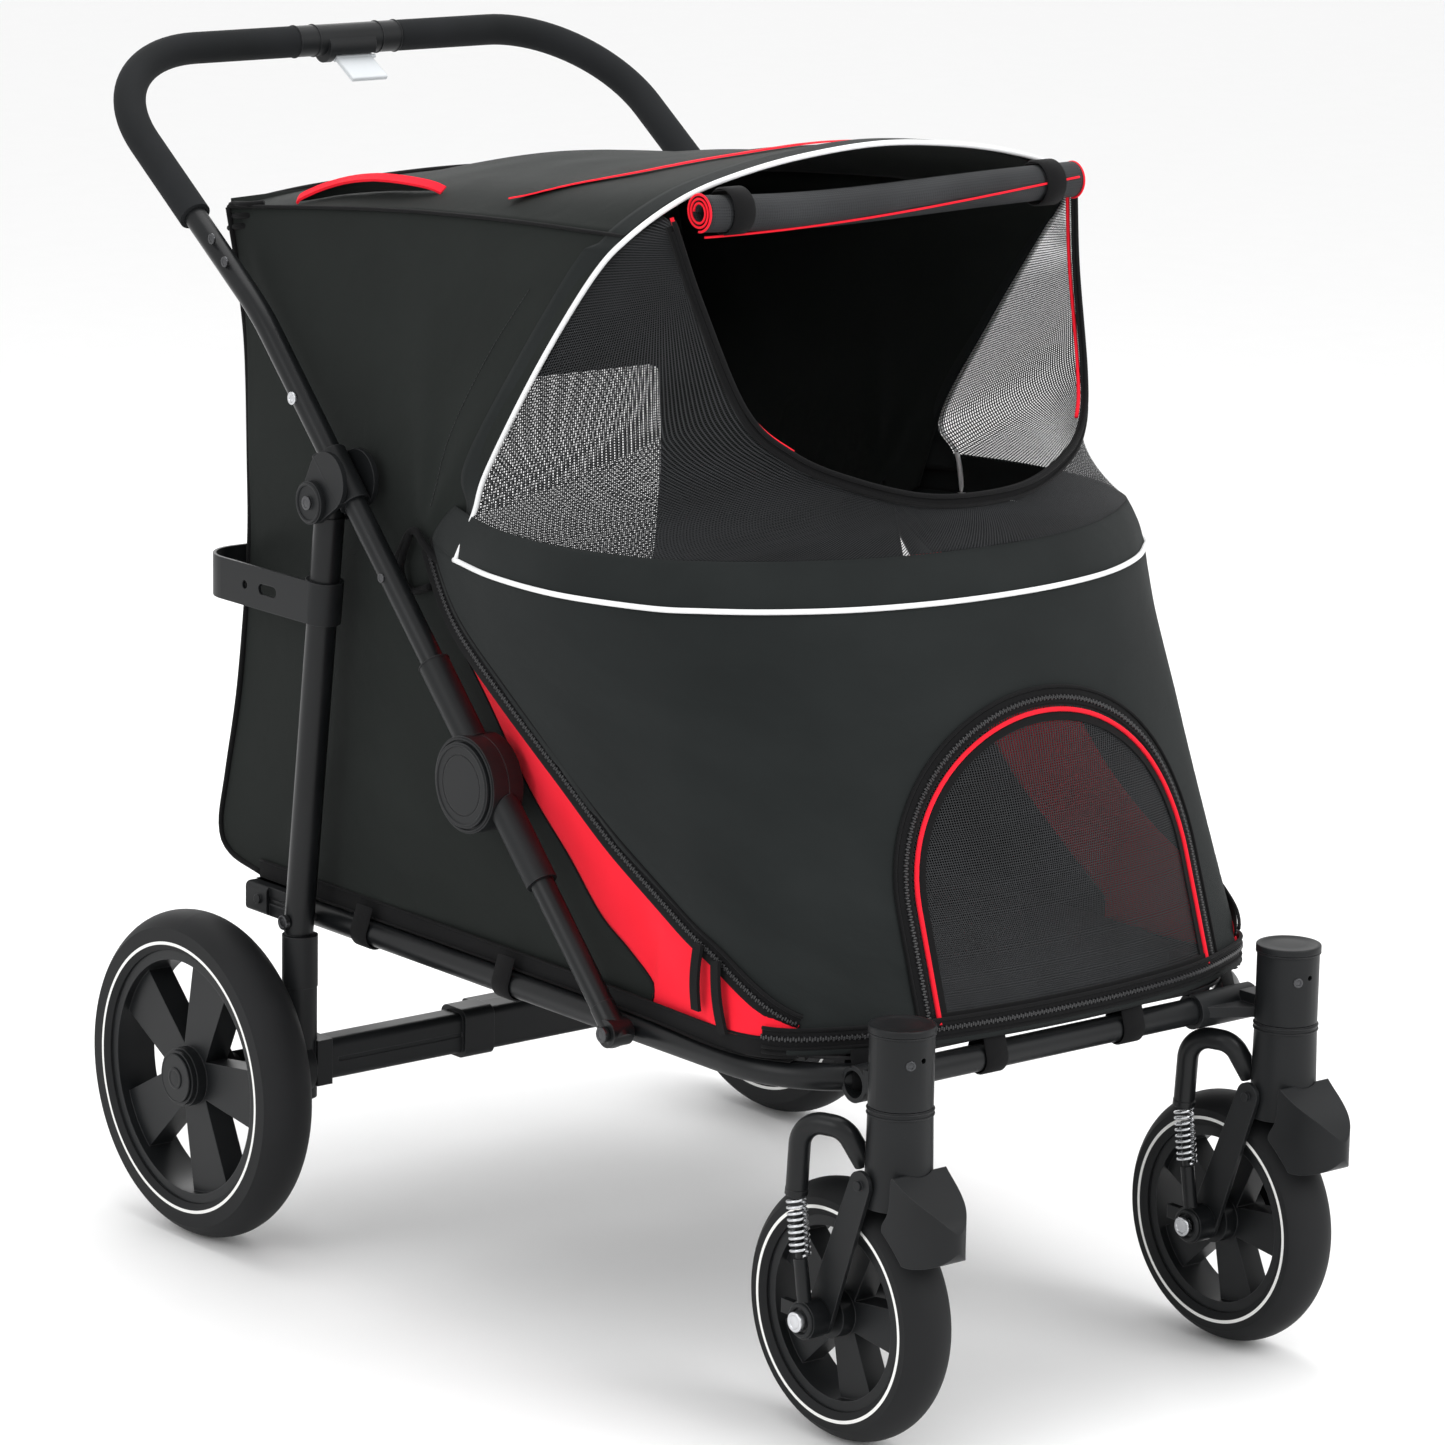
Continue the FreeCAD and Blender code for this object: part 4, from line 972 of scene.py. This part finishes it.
def side_zips():
    """The long zip from each hinge down to the hem and round the front, with its tapes."""
    tapes, coils, cords, edges = [], [], [], []
    for _, side in SIDES:
        spots = along([(0, y, z) for y, z in ZIP_RUN], 120)
        line = np.array([zip_point(p[1], p[2], side, 0.0012) for p in spots])
        ups = same_way((side * 1.0, -0.25, 0.1), 120)
        tapes.append((line, ups))
        coils.append((line + np.array([side * 0.0009, 0, 0]), ups))
        for shift in (0.0085, -0.0085):
            offset = np.array([side * 0.0002, -0.6 * shift, 0.8 * shift])
            cords.append(line + offset)
    trim_tape("side_zip_tapes", tapes, 0.019, 0.0009)
    zip_teeth("side_zips", coils)
    trim_cord("side_zip_cords", cords, 0.0016)

    hem_line = plan_at(HEM_Z)
    hem_line = hem_line[hem_line[:, 1] < -0.392]
    hem_ups = []
    for i in range(len(hem_line)):
        step = hem_line[min(i + 1, len(hem_line) - 1)] - hem_line[max(i - 1, 0)]
        hem_ups.append((step[1], -step[0], 0))
    hem_ups = np.array(hem_ups)
    if hem_ups[len(hem_ups) // 2][1] > 0:
        hem_ups = -hem_ups
    hem_ups = hem_ups / np.linalg.norm(hem_ups, axis=1)[:, None]
    out = hem_line + hem_ups * 0.001
    trim_tape("front_zip_tape", [(out + (0, 0, -0.001), hem_ups)], 0.020, 0.0010)
    zip_teeth("front_zip", [(out + hem_ups * 0.001 + (0, 0, 0.001), hem_ups)])
    ridges = [out + hem_ups * 0.0008 + (0, 0, shift) for shift in (0.0085, -0.007, -0.0115)]
    trim_cord("front_hem_cords", ridges, 0.0017)

    low = []
    for _, side in SIDES:
        line = along([(side * x, y, z) for x, y, z in (
            (0.2565, 0.335, 0.3235), (0.2565, 0.10, 0.3225), (0.2575, -0.15, 0.3215), (0.262, -0.26, 0.3215),
            (0.269, -0.345, 0.3235), (0.266, -0.392, 0.326), (0.248, -0.418, 0.328))], 90)
        low.append((line, same_way((side * 1.0, 0, 0.0), 90)))
        edges.append(line + np.array([side * 0.0012, 0, 0.0085]))
    trim_tape("side_hem_bands", low, 0.017, 0.0014)
    trim_cord("side_hem_cords", edges, 0.0013)

    turned = []
    for _, side in SIDES:
        line = along([(side * x, y, 0.3160) for x, y in (
            (0.2455, 0.335), (0.2455, 0.10), (0.247, -0.15), (0.251, -0.26), (0.257, -0.33), (0.254, -0.372),
            (0.238, -0.405))], 60)
        turned.append((line, same_way((0.0, 0, -1.0), 60)))
    trim_tape("turned_in_hems", turned, 0.034, 0.0012)

    seams = []
    for _, side in SIDES:
        spots = along([(0, y, z) for y, z in RED_RUN], 70)
        seams.append(np.array([side_point(p[1], p[2], side, 0.0012) for p in spots]))
    trim_cord("red_seam_cords", seams, 0.0011)


def belt():
    """The grey band over the belly, and the pale piping under it."""
    low = along(both_sides([(-x, y, BELT_Z) for x, y in BELT_PLAN]), 141)
    high = along(both_sides([(-x, y, BAND_TOP_Z) for x, y in BAND_PLAN]), 141)
    rows = between(low, high, 12)
    for j, row in enumerate(rows):
        swell = math.sin(math.pi * j / 11)
        for point in row:
            outward = Vector((point[0], point[1] + 0.05, 0)).normalized()
            lift = 0.0028 * swell * (1 + 0.5 * noise.noise(Vector((point[0] * 14, point[1] * 14, 2.0))))
            point[0] += outward.x * lift
            point[1] += outward.y * lift
    piece = cabin_cloth("belt_band_cloth", rows, FRONT_CLOTH_PAINTED_LIGHT, (0, 0, 0.68))
    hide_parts("belt_band")
    cord = along(both_sides([(-x - 0.0015, y - 0.001, BELT_Z) for x, y in BELT_PLAN[1:]]), 200)
    trim_cord("belt_piping", [cord], PIPING_RADIUS, WHITE_PIPING, "chassis")


def hoop_trim():
    """Pale piping along the front hoop, with the grey facing behind it."""
    line = along(both_sides(HOOP), 200)
    outward = line - np.array([0, 0.10, 0.60])
    outward[:, 1] = -0.25
    outward = outward / np.linalg.norm(outward, axis=1)[:, None]
    piping = line + outward * 0.002 + np.array([0, -0.002, 0])
    trim_cord("hoop_piping", [piping], PIPING_RADIUS, WHITE_PIPING, "chassis")

    mid = line[4:-4]
    back = mid + np.array([0, 0.027, 0.0])
    facing = []
    for point, other in zip(mid, back):
        spread = []
        for t in np.linspace(0, 1, 6):
            p = point * (1 - t) + other * t
            lift = 0.0022 if abs(p[0]) < 0.24 else 0.0
            side = -1 if p[0] < 0 else 1
            if abs(p[0]) > 0.245:
                p = point * (1 - t) + np.array(side_point(other[1], other[2], side, 0.0016)) * t
            p[2] += lift
            spread.append(p)
        facing.append(spread)
    cabin_cloth("hoop_facing", facing, FRONT_CLOTH_PAINTED_LIGHT, (0, 0.1, 0.6))


WINDOW = [(-0.222, -0.205, 0.972), (-0.208, -0.226, 0.905), (-0.188, -0.262, 0.820), (-0.160, -0.292, 0.785),
          (-0.120, -0.318, 0.765), (-0.062, -0.338, 0.749), (0, -0.344, 0.745)]


def window():
    """The mesh round the front window, its bound edge, and the rolled-up flap above it."""
    hoop_side = along(HOOP[1:7], 40)[::-1][2:]
    band = along([(-x, y, BAND_TOP_Z - 0.001) for x, y in BAND_PLAN], 60)
    outer_half = even(np.vstack([hoop_side, band[band[:, 1] < -0.012]]), 90)
    outer = np.vstack([outer_half, (outer_half * np.array([-1, 1, 1]))[::-1][1:]])
    inner_half = along(WINDOW, 90)
    inner = np.vstack([inner_half, (inner_half * np.array([-1, 1, 1]))[::-1][1:]])
    rows = between(outer, inner, 26)
    for j, row in enumerate(rows):
        share = j / 25
        for point in row:
            point[1] -= 0.004 * math.sin(math.pi * share)
    piece = cabin_cloth("window_net", rows, NET_CLOTH, (0, 0.2, 0.7),
                        thickness=NET_CLOTH_THICKNESS)
    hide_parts("window_mesh", "cabin_wires")

    line = along(both_sides(WINDOW), 160)
    ups = np.array([(0.9 * p[0], -0.35, 0.12) for p in line])
    trim_tape("window_binding", [(line, ups)], 0.011, 0.0022)
    edge = line + np.array([0, -0.003, 0.0])
    trim_cord("window_edge_cord", [edge + (0, 0, -0.004), edge + (0, 0.0, 0.004)], 0.0021)
    red_half = along([(x * 0.985, y + 0.004, z + 0.006) for x, y, z in WINDOW], 60)[:34]
    red = [red_half, red_half * np.array([-1, 1, 1])]
    trim_cord("window_red_cord", red, 0.0017, RED_TAPE, "chassis")

    turns = np.linspace(0, 5.5 * math.pi, 110)
    radii = 0.0065 + 0.0098 * turns / turns[-1]
    xs = np.linspace(-ROLL_HALF, ROLL_HALF, 60)
    rows = []
    for turn, radius in zip(turns, radii):
        row = []
        for x in xs:
            sag = 0.004 * (1 - (x / ROLL_HALF) ** 2) - 0.002 * math.sin(14 * x)
            row.append((x, ROLL_Y + radius * math.cos(turn), ROLL_Z - sag + radius * math.sin(turn)))
        rows.append(row)
    roll = cabin_cloth("rolled_flap", rows, ROLL_CLOTH, (0, ROLL_Y, ROLL_Z),
                       thickness=0.0008)
    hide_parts("rolled_window_flap")
    ends = []
    for x in (-0.206, 0.206):
        ends.append([(x, ROLL_Y + r * math.cos(t), ROLL_Z + r * math.sin(t)) for t, r in zip(turns, radii)])
    trim_cord("roll_red_ends", ends, 0.0011, RED_TAPE, "chassis", sides=6)
    seam = [(x, ROLL_Y + 0.0172 * math.cos(2.6 + 5 * x), ROLL_Z - 0.004 - 0.0172 * math.sin(2.6 + 5 * x))
            for x in np.linspace(-0.2, 0.2, 80)]
    trim_cord("roll_red_seam", [seam], 0.0011, RED_TAPE, "chassis", sides=6)
    loops = []
    for x in (-0.172, 0.172):
        angles = np.linspace(0.35 * math.pi, 2.3 * math.pi, 40)
        loop = np.array([(x, ROLL_Y + 0.0185 * math.cos(a), ROLL_Z - 0.001 + 0.0185 * math.sin(a))
                         for a in angles])
        ups = np.array([(0, math.cos(a), math.sin(a)) for a in angles])
        loops.append((loop, ups))
    trim_tape("roll_straps", loops, 0.022, 0.0014)


def rear():
    """The rear cloth with its mesh window, zip and piping."""
    xs = np.unique(np.concatenate([np.linspace(-0.252, 0.252, 50), (-REAR_WINDOW_X, REAR_WINDOW_X)]))
    heights = np.unique(np.concatenate([np.linspace(0.319, 0.930, 56),
                                        (REAR_WINDOW_LOW, REAR_WINDOW_HIGH)]))
    edge_y, edge_z = REAR_CURVE[:, 1], REAR_CURVE[:, 2]
    rows = []
    for z in heights:
        row = []
        for x in xs:
            rim = 1 - (abs(x) / 0.252) ** 6
            y = float(np.interp(z, edge_z, edge_y))
            bow = 0.004 * rim * noise.noise(Vector((x * 6, z * 6, 9.0)))
            top = z if z < 0.90 else z + (z - 0.90) / 0.03 * 0.006 * (1 - (x / 0.252) ** 2)
            row.append((x, y + bow, top))
        rows.append(row)

    def in_window(x, z, slack=-0.0001):
        return abs(x) < REAR_WINDOW_X + slack and REAR_WINDOW_LOW - slack < z < REAR_WINDOW_HIGH + slack

    piece = cabin_cloth("rear_cloth", rows, SHELL_CLOTH, CABIN_MIDDLE,
                        keep=lambda x, z: not in_window(x, z))
    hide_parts("rear_panel")
    glazed = [[p for p in row if in_window(p[0], row[0][2], 0.0001)] for row in rows]
    net = cabin_cloth("rear_net", [row for row in glazed if row], NET_CLOTH, CABIN_MIDDLE,
                      thickness=NET_CLOTH_THICKNESS)
    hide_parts("rear_window_mesh")

    corners = []
    for k in range(4):
        cx, cz = (0.205, -0.205, -0.205, 0.205)[k], (0.730, 0.730, 0.563, 0.563)[k]
        for t in np.linspace(k * math.pi / 2, (k + 1) * math.pi / 2, 8):
            corners.append((cx + 0.022 * math.cos(t), 0, cz + 0.022 * math.sin(t)))
    corners.append(corners[0])
    frame_line = even(corners, 160)
    frame_line[:, 1] = np.interp(frame_line[:, 2], edge_z, edge_y) + 0.0025
    trim_tape("rear_window_tape", [(frame_line, same_way((0, 1.0, 0), 160))], 0.017, 0.0012)
    zip_teeth("rear_window_zip", [(frame_line + (0, 0.001, 0), same_way((0, 1.0, 0), 160))])
    cords = []
    for _, side in SIDES:
        cords.append(even(REAR_CURVE + (side * 0.2545, 0, 0), 90))
    cords.append(even([(x, 0.3385, 0.3215) for x in (-0.25, 0.25)], 20))
    trim_cord("rear_edge_cords", cords, 0.0028)


def floor_mat():
    """The mat on the floor board, swollen by a short cloth simulation and quilted along its length."""
    low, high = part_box("floor_mat")
    deselect()
    bpy.ops.mesh.primitive_cube_add(size=1, location=(low + high) / 2)
    source = bpy.context.object
    source.scale = high - low - Vector((0.016, 0.016, 0.012))
    bpy.ops.object.transform_apply(location=True, rotation=True, scale=True)
    bpy.ops.object.mode_set(mode="EDIT")
    bpy.ops.mesh.select_all(action="SELECT")
    bpy.ops.mesh.subdivide(number_cuts=12)
    bpy.ops.object.mode_set(mode="OBJECT")
    centre = (low + high) / 2
    for vertex in source.data.vertices:
        front = (low.y + 0.11 - vertex.co.y) / 0.11
        if front > 0:
            vertex.co.x = centre.x + (vertex.co.x - centre.x) * (1 - 0.36 * front ** 2)
    source.name = "floor_mat_pad"
    apply_modifier(source, "REMESH", mode="VOXEL", voxel_size=0.006)
    still = np.array([v.co[:] for v in source.data.vertices])
    cloth = source.modifiers.new("cloth", "CLOTH")
    cloth.settings.use_pressure = True
    cloth.settings.uniform_pressure_force = 4.0
    cloth.settings.quality = 4
    cloth.settings.effector_weights.gravity = 0
    cloth.collision_settings.use_collision = False
    cloth.point_cache.frame_start = 1
    cloth.point_cache.frame_end = MAT_STEPS
    for step in range(1, MAT_STEPS + 1):
        bpy.context.scene.frame_set(step)
    shaped = source.evaluated_get(bpy.context.evaluated_depsgraph_get())
    moved = np.array([v.co[:] for v in shaped.data.vertices])
    source.modifiers.remove(cloth)
    bpy.context.scene.frame_set(1)
    push = moved - still
    length = np.linalg.norm(push, axis=1)[:, None]
    push = push * np.minimum(1, MAT_SWELL / np.maximum(length, 1e-9))
    seam_x = np.abs(np.mod(still[:, 0] + 0.04, 0.08) - 0.04)
    groove = np.exp(-((seam_x / 0.006) ** 2)) * 0.004
    top = still[:, 2] > centre.z
    result = still + push
    result[:, 2] -= np.where(top, groove, 0)
    for vertex, place in zip(source.data.vertices, result):
        vertex.co = place
    mesh = source.data
    layer = mesh.uv_layers.get("UVMap") or mesh.uv_layers.new(name="UVMap")
    for loop in mesh.loops:
        place = mesh.vertices[loop.vertex_index].co
        layer.data[loop.index].uv = (place.x, place.y + place.z)
    finish_piece(source, MAT_CLOTH, "chassis")
    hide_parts("floor_mat")


def webbing():
    """Straps round the base rails, zip pulls and the latch straps at the hinges."""
    rail = 0.0131
    loops = []
    for x, y, turn in ((-0.2605, 0.159, 0), (-0.2605, -0.050, 0), (0.2605, 0.159, 0), (0.2605, -0.050, 0),
                       (-0.200, -0.443, 65), (0.200, -0.443, -65), (-0.077, -0.458, 90), (0.077, -0.458, 90)):
        heading = Matrix.Rotation(math.radians(turn), 3, "Z")
        points, ups = [], []
        angles = np.linspace(-0.15 * math.pi, 1.15 * math.pi, 24)
        profile = [(-0.006, 0.0245)] + [
            (-rail * math.cos(a), -rail * math.sin(a)) for a in angles
        ] + [(0.006, 0.0245)]
        looks = [(-1, 0.2)] + [(-math.cos(a), -math.sin(a)) for a in angles] + [(1, 0.2)]
        for (across, up), (look_x, look_z) in zip(profile, looks):
            points.append(Vector((x, y, 0.303)) + heading @ Vector((across, 0, up)))
            ups.append(heading @ Vector((look_x, 0, look_z)))
        loops.append((points, ups))
    strips("rail_straps", loops, 0.024, 0.0014, TAPE, "chassis")

    pulls = []
    for _, side in SIDES:
        for y, z, lean, length in ((-0.322, 0.399, 0.02, 0.056), (-0.343, 0.389, -0.20, 0.060)):
            top = zip_point(y, z, side, 0.003)
            down = Vector((0, math.sin(lean), -math.cos(lean)))
            points = [top + down * (length * t) + Vector((side * (0.0025 + 0.003 * math.sin(3 * t)), 0, 0))
                      for t in np.linspace(0, 1, 14)]
            pulls.append((points, [Vector((side, 0, 0))] * 14))
    trim_tape("zip_pulls", pulls, 0.0115, 0.0026)

    latches = []
    for _, side in SIDES:
        x = side * 0.2655
        latches.append(along([(side * 0.2575, 0.135, 0.640), (x, 0.112, 0.652), (x, 0.097, 0.673),
                              (x, 0.086, 0.676), (x, 0.076, 0.668), (side * 0.262, 0.055, 0.654),
                              (side * 0.262, 0.030, 0.662)], 40))
        latches.append(along([(x, 0.095, 0.675), (x, 0.109, 0.640), (side * 0.262, 0.098, 0.622),
                              (side * 0.262, 0.070, 0.630)], 30))
    trim_cord("hinge_latches", latches, 0.0034)


# ---- small hard pieces ----
def look_along(direction):
    return Vector(direction).to_track_quat("Z", "Y").to_euler()


def select_faces(piece, test):
    """Leaves edit mode with only the faces that pass the test selected."""
    bpy.ops.object.mode_set(mode="OBJECT")
    for vertex in piece.data.vertices:
        vertex.select = False
    for edge in piece.data.edges:
        edge.select = False
    for face in piece.data.polygons:
        face.select = test(face)
    bpy.ops.object.mode_set(mode="EDIT")
    bpy.ops.mesh.select_mode(type="FACE")


def button(centre, direction, radius, height, rim=0.25, dimple=0.3, sides=40):
    """A round head with a raised rim and a dished middle, as one closed shell."""
    deselect()
    bpy.ops.mesh.primitive_cylinder_add(vertices=sides, radius=radius, depth=height,
                                        location=Vector(centre) + Vector(direction).normalized() * height / 2,
                                        rotation=look_along(direction))
    piece = bpy.context.object
    bpy.ops.object.mode_set(mode="EDIT")
    select_faces(piece, lambda face: len(face.vertices) == sides and face.normal.z > 0.9)
    bpy.ops.mesh.bevel(offset=min(height, radius) * 0.22, segments=3)
    select_faces(piece, lambda face: len(face.vertices) == sides and face.normal.z > 0.9)
    bpy.ops.mesh.inset(thickness=radius * rim)
    bpy.ops.mesh.inset(thickness=radius * 0.05, depth=-height * dimple)
    bpy.ops.mesh.inset(thickness=radius * 0.3, depth=height * dimple * 0.4)
    bpy.ops.object.mode_set(mode="OBJECT")
    bpy.ops.object.transform_apply(location=True, rotation=True, scale=True)
    return piece


def ring(centre, direction, radius, thickness, sides=64):
    deselect()
    bpy.ops.mesh.primitive_torus_add(major_radius=radius, minor_radius=thickness, major_segments=sides,
                                     minor_segments=10, location=centre, rotation=look_along(direction))
    piece = bpy.context.object
    bpy.ops.object.transform_apply(location=True, rotation=True, scale=True)
    return piece


def joined(name, pieces, material, body, smooth=35):
    deselect()
    for piece in pieces:
        piece.select_set(True)
    bpy.context.view_layer.objects.active = pieces[0]
    if len(pieces) > 1:
        bpy.ops.object.join()
    piece = bpy.context.object
    piece.name = name
    return finish_piece(piece, material, body, smooth)


def tube_spot(distance, side, drop=0.0):
    """A point on the outer wall of a side tube, that far up from the strut's foot."""
    y = STRUT_PIVOT.y + distance * math.cos(SIDE_ANGLE) + drop * math.sin(SIDE_ANGLE)
    z = STRUT_PIVOT.z + distance * math.sin(SIDE_ANGLE) - drop * math.cos(SIDE_ANGLE)
    return Vector((side * (TUBE_X + 0.0105), y, z))


def tube_button(distance, side, radius, height, drop=0.0, depth=0.0008):
    """A round head let into the outer wall of a side tube."""
    spot = tube_spot(distance, side, drop) - Vector((side * depth, 0, 0))
    return button(spot, (side, 0, 0), radius, height)


def rivets():
    dark, bright, low = [], [], []
    for _, side in SIDES:
        dark.append(tube_button(0.832, side, 0.0048, 0.0022, drop=0.003))
        dark.append(tube_button(0.805, side, 0.0048, 0.0022, drop=0.001))
        dark.append(tube_button(0.463, side, 0.0042, 0.0020))
        bright.append(tube_button(0.655, side, 0.0058, 0.0026, depth=0.0006))
        low.append(tube_button(0.183, side, 0.0042, 0.0020))
    joined("upper_tube_rivets", dark, DARK_STEEL, "handle_frame")
    joined("upper_tube_snaps", bright, STEEL, "handle_frame")
    joined("lower_tube_rivets", low, DARK_STEEL, "struts")
    pivots = []
    for _, side in SIDES:
        pivots.append(button((side * 0.3018, STRUT_PIVOT.y, STRUT_PIVOT.z), (side, 0, 0), 0.0066, 0.0022))
        pivots.append(button((side * 0.3048, 0.229, 0.303), (side, 0, 0), 0.0066, 0.0022))
    joined("pivot_heads", pivots, DARK_STEEL, "chassis")


def joint_details():
    caps, rings = [], []
    for _, side in SIDES:
        out = (side, 0, 0)
        caps.append(button((side * 0.3128, CLAMP_JOINT.y, CLAMP_JOINT.z), out, 0.0062, 0.0022))
        rings.append(ring((side * 0.3120, CLAMP_JOINT.y, CLAMP_JOINT.z), out, 0.0163, 0.0014))
        rings.append(ring((side * 0.3072, FOLD_JOINT.y, FOLD_JOINT.z), out, 0.0342, 0.0012))
        rings.append(ring((side * 0.3042, FOLD_JOINT.y, FOLD_JOINT.z), out, 0.0395, 0.0012))
        for distance in (0.372, 0.291):
            spot = tube_spot(distance, side)
            uphill = (0, math.cos(SIDE_ANGLE), math.sin(SIDE_ANGLE))
            rings.append(ring((side * TUBE_X, spot.y, spot.z), uphill, 0.0137, 0.0008, 32))
    joined("joint_rings", rings, PLASTIC, "handle_frame")
    joined("clamp_pins", caps, DARK_STEEL, "handle_frame")

    seams = [ring((x, *HANDLE_BAR), (1, 0, 0), 0.0149, 0.0007, 48) for x in (-0.0575, 0.0575, -0.036, 0.036)]
    joined("hub_seams", seams, PLASTIC, "handle_frame")


def post_spot(side, z):
    """A point on the axis of a caster post."""
    return Vector((side * CASTER.x, CASTER.y, z))


def post_caps():
    tops, holes = [], []
    for _, side in SIDES:
        tops.append(button(post_spot(side, 0.3598), UP, 0.0278, 0.0052, rim=0.10, dimple=0.14, sides=56))
        tops.append(ring(post_spot(side, 0.3585), UP, 0.0270, 0.0009))
        face = Vector((-0.42, -0.90, 0)).normalized()
        spot = post_spot(side, 0.337) + face * 0.0258
        holes.append(button(spot, face, 0.0042, 0.0016, rim=0.3, dimple=0.5))
    joined("post_caps", tops, PLASTIC, "chassis")
    joined("post_rivets", holes, DARK_STEEL, "chassis")
    for name, side in SIDES:
        grooves = [ring(post_spot(side, z), UP, 0.0270, 0.0009) for z in (0.2955, 0.2915)]
        joined("swivel_rings_" + name, grooves, PLASTIC, "caster_" + name)
        axle_x = side * CASTER.x - 0.0465
        bolt = button((axle_x - 0.009, FRONT_AXLE.y, FRONT_AXLE.z), (-1, 0, 0), 0.0085, 0.004, rim=0.2,
                      dimple=0.2)
        joined("axle_head_" + name, [bolt], STEEL, "caster_arm_" + name)
        washer = ring((axle_x - 0.0055, FRONT_AXLE.y, FRONT_AXLE.z), (1, 0, 0), 0.0125, 0.0022)
        joined("axle_washer_" + name, [washer], PLASTIC, "caster_arm_" + name)


def hub_details():
    for name, side in SIDES:
        low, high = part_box("rear_hub_cap_" + name)
        face = low.x if side < 0 else high.x
        centre = Vector((face - side * 0.0006, REAR_AXLE.y, REAR_AXLE.z))
        rings = [ring(centre, (side, 0, 0), 0.0215, 0.0010), ring(centre, (side, 0, 0), 0.0125, 0.0006)]
        cap = button(centre, (side, 0, 0), 0.0100, 0.0016, rim=0.2, dimple=0.3)
        joined("hub_cap_rings_" + name, rings + [cap], PLASTIC, "rear_wheel_" + name)


# ---- CAD pieces keep their shape and get their finish ----
def paint_frame():
    finishes = {
        "frame_black": FRAME_PAINT, "black_plastic": PLASTIC, "bright_steel": STEEL, "black_foam": FOAM,
        "pale_plastic": PALE_PLASTIC, "wire_steel": FRAME_PAINT, "black_fabric": SHELL_CLOTH,
        "grey_fabric": FRONT_CLOTH_PAINTED_LIGHT, "red_fabric": RED_CLOTH, "mesh_fabric": NET_CLOTH, "board_plastic": BOARD,
    }
    rear_tyre = tyre_rubber("rear tyre rubber", REAR_AXLE, 0.1228)
    front_tyre = tyre_rubber("front tyre rubber", FRONT_AXLE, 0.0893)
    for entry in frame["record"]["subparts"]:
        node = nodes[entry["node"]]
        material = finishes.get(entry["material_slot"])
        if "rear_tyre" in node.name:
            material = rear_tyre
        elif "front_tyre" in node.name:
            material = front_tyre
        elif "rim" in node.name or "hub_cap" in node.name:
            material = RIM_PLASTIC
        node.data.materials.clear()
        node.data.materials.append(material)
        if "pivot_bolts" in node.name:
            node.data.materials[0] = DARK_STEEL


# ---- floor, light and camera ----
def studio():
    material, tree, surface = blank_material("pale floor", 0.9)
    where = add(tree, "TexCoord").outputs["Object"]
    skin = place_group(tree, GRAIN, where, Scale=3.0)
    tree.links.new(two_tone(tree, skin.outputs["Patch"], (0.92, 0.92, 0.92), (0.94, 0.94, 0.94)),
                   surface.inputs["Base Color"])
    deselect()
    bpy.ops.mesh.primitive_plane_add(size=60, location=(0, 0, -0.0005))
    floor = bpy.context.object
    floor.name = "floor"
    floor.data.materials.append(material)

    world = bpy.context.scene.world or bpy.data.worlds.new("studio")
    bpy.context.scene.world = world
    world.use_nodes = True
    background = world.node_tree.nodes["Background"]
    background.inputs["Color"].default_value = (1.0, 1.0, 1.0, 1)
    background.inputs["Strength"].default_value = 1.0

    lamps = (
        ("key_light", (0.9, -3.4, 2.9), 2.2, 62.0), ("side_light", (-3.6, -0.4, 2.2), 2.0, 30.0),
        ("top_light", (0.3, 0.6, 3.6), 2.6, 46.0), ("rear_light", (1.6, 3.2, 2.0), 2.0, 26.0),
    )
    for name, place, size, power in lamps:
        lamp = bpy.data.lights.new(name, "AREA")
        lamp.size = size
        lamp.energy = power
        lamp_object = bpy.data.objects.new(name, lamp)
        lamp_object.location = place
        lamp_object.rotation_euler = (Vector((0, 0, 0.5)) - Vector(place)).to_track_quat("-Z", "Y").to_euler()
        bpy.context.scene.collection.objects.link(lamp_object)

    camera = bpy.data.cameras.new("camera")
    camera.sensor_width = 36.0
    camera.lens = 141.97
    camera.shift_x = 0.0083
    camera.shift_y = -0.0077
    camera.clip_end = 100
    camera_object = bpy.data.objects.new("camera", camera)
    right = Vector((0.77814, -0.62787, 0.01702))
    upward = Vector((0.12421, 0.18038, 0.97572))
    back = right.cross(upward)
    turn = Matrix((right, upward, back)).transposed().to_4x4()
    camera_object.matrix_world = Matrix.Translation((-3.1130, -3.8218, 1.6022)) @ turn
    bpy.context.scene.collection.objects.link(camera_object)
    bpy.context.scene.camera = camera_object
    bpy.context.scene.view_settings.view_transform = "Standard"


paint_frame()
side_panels()
roof_trim(roof())
belly()
door_trim()
red_panels()
side_zips()
belt()
hoop_trim()
hoop_stitching()
window()
rear()
floor_mat()
webbing()
rivets()
joint_details()
post_caps()
hub_details()
studio()
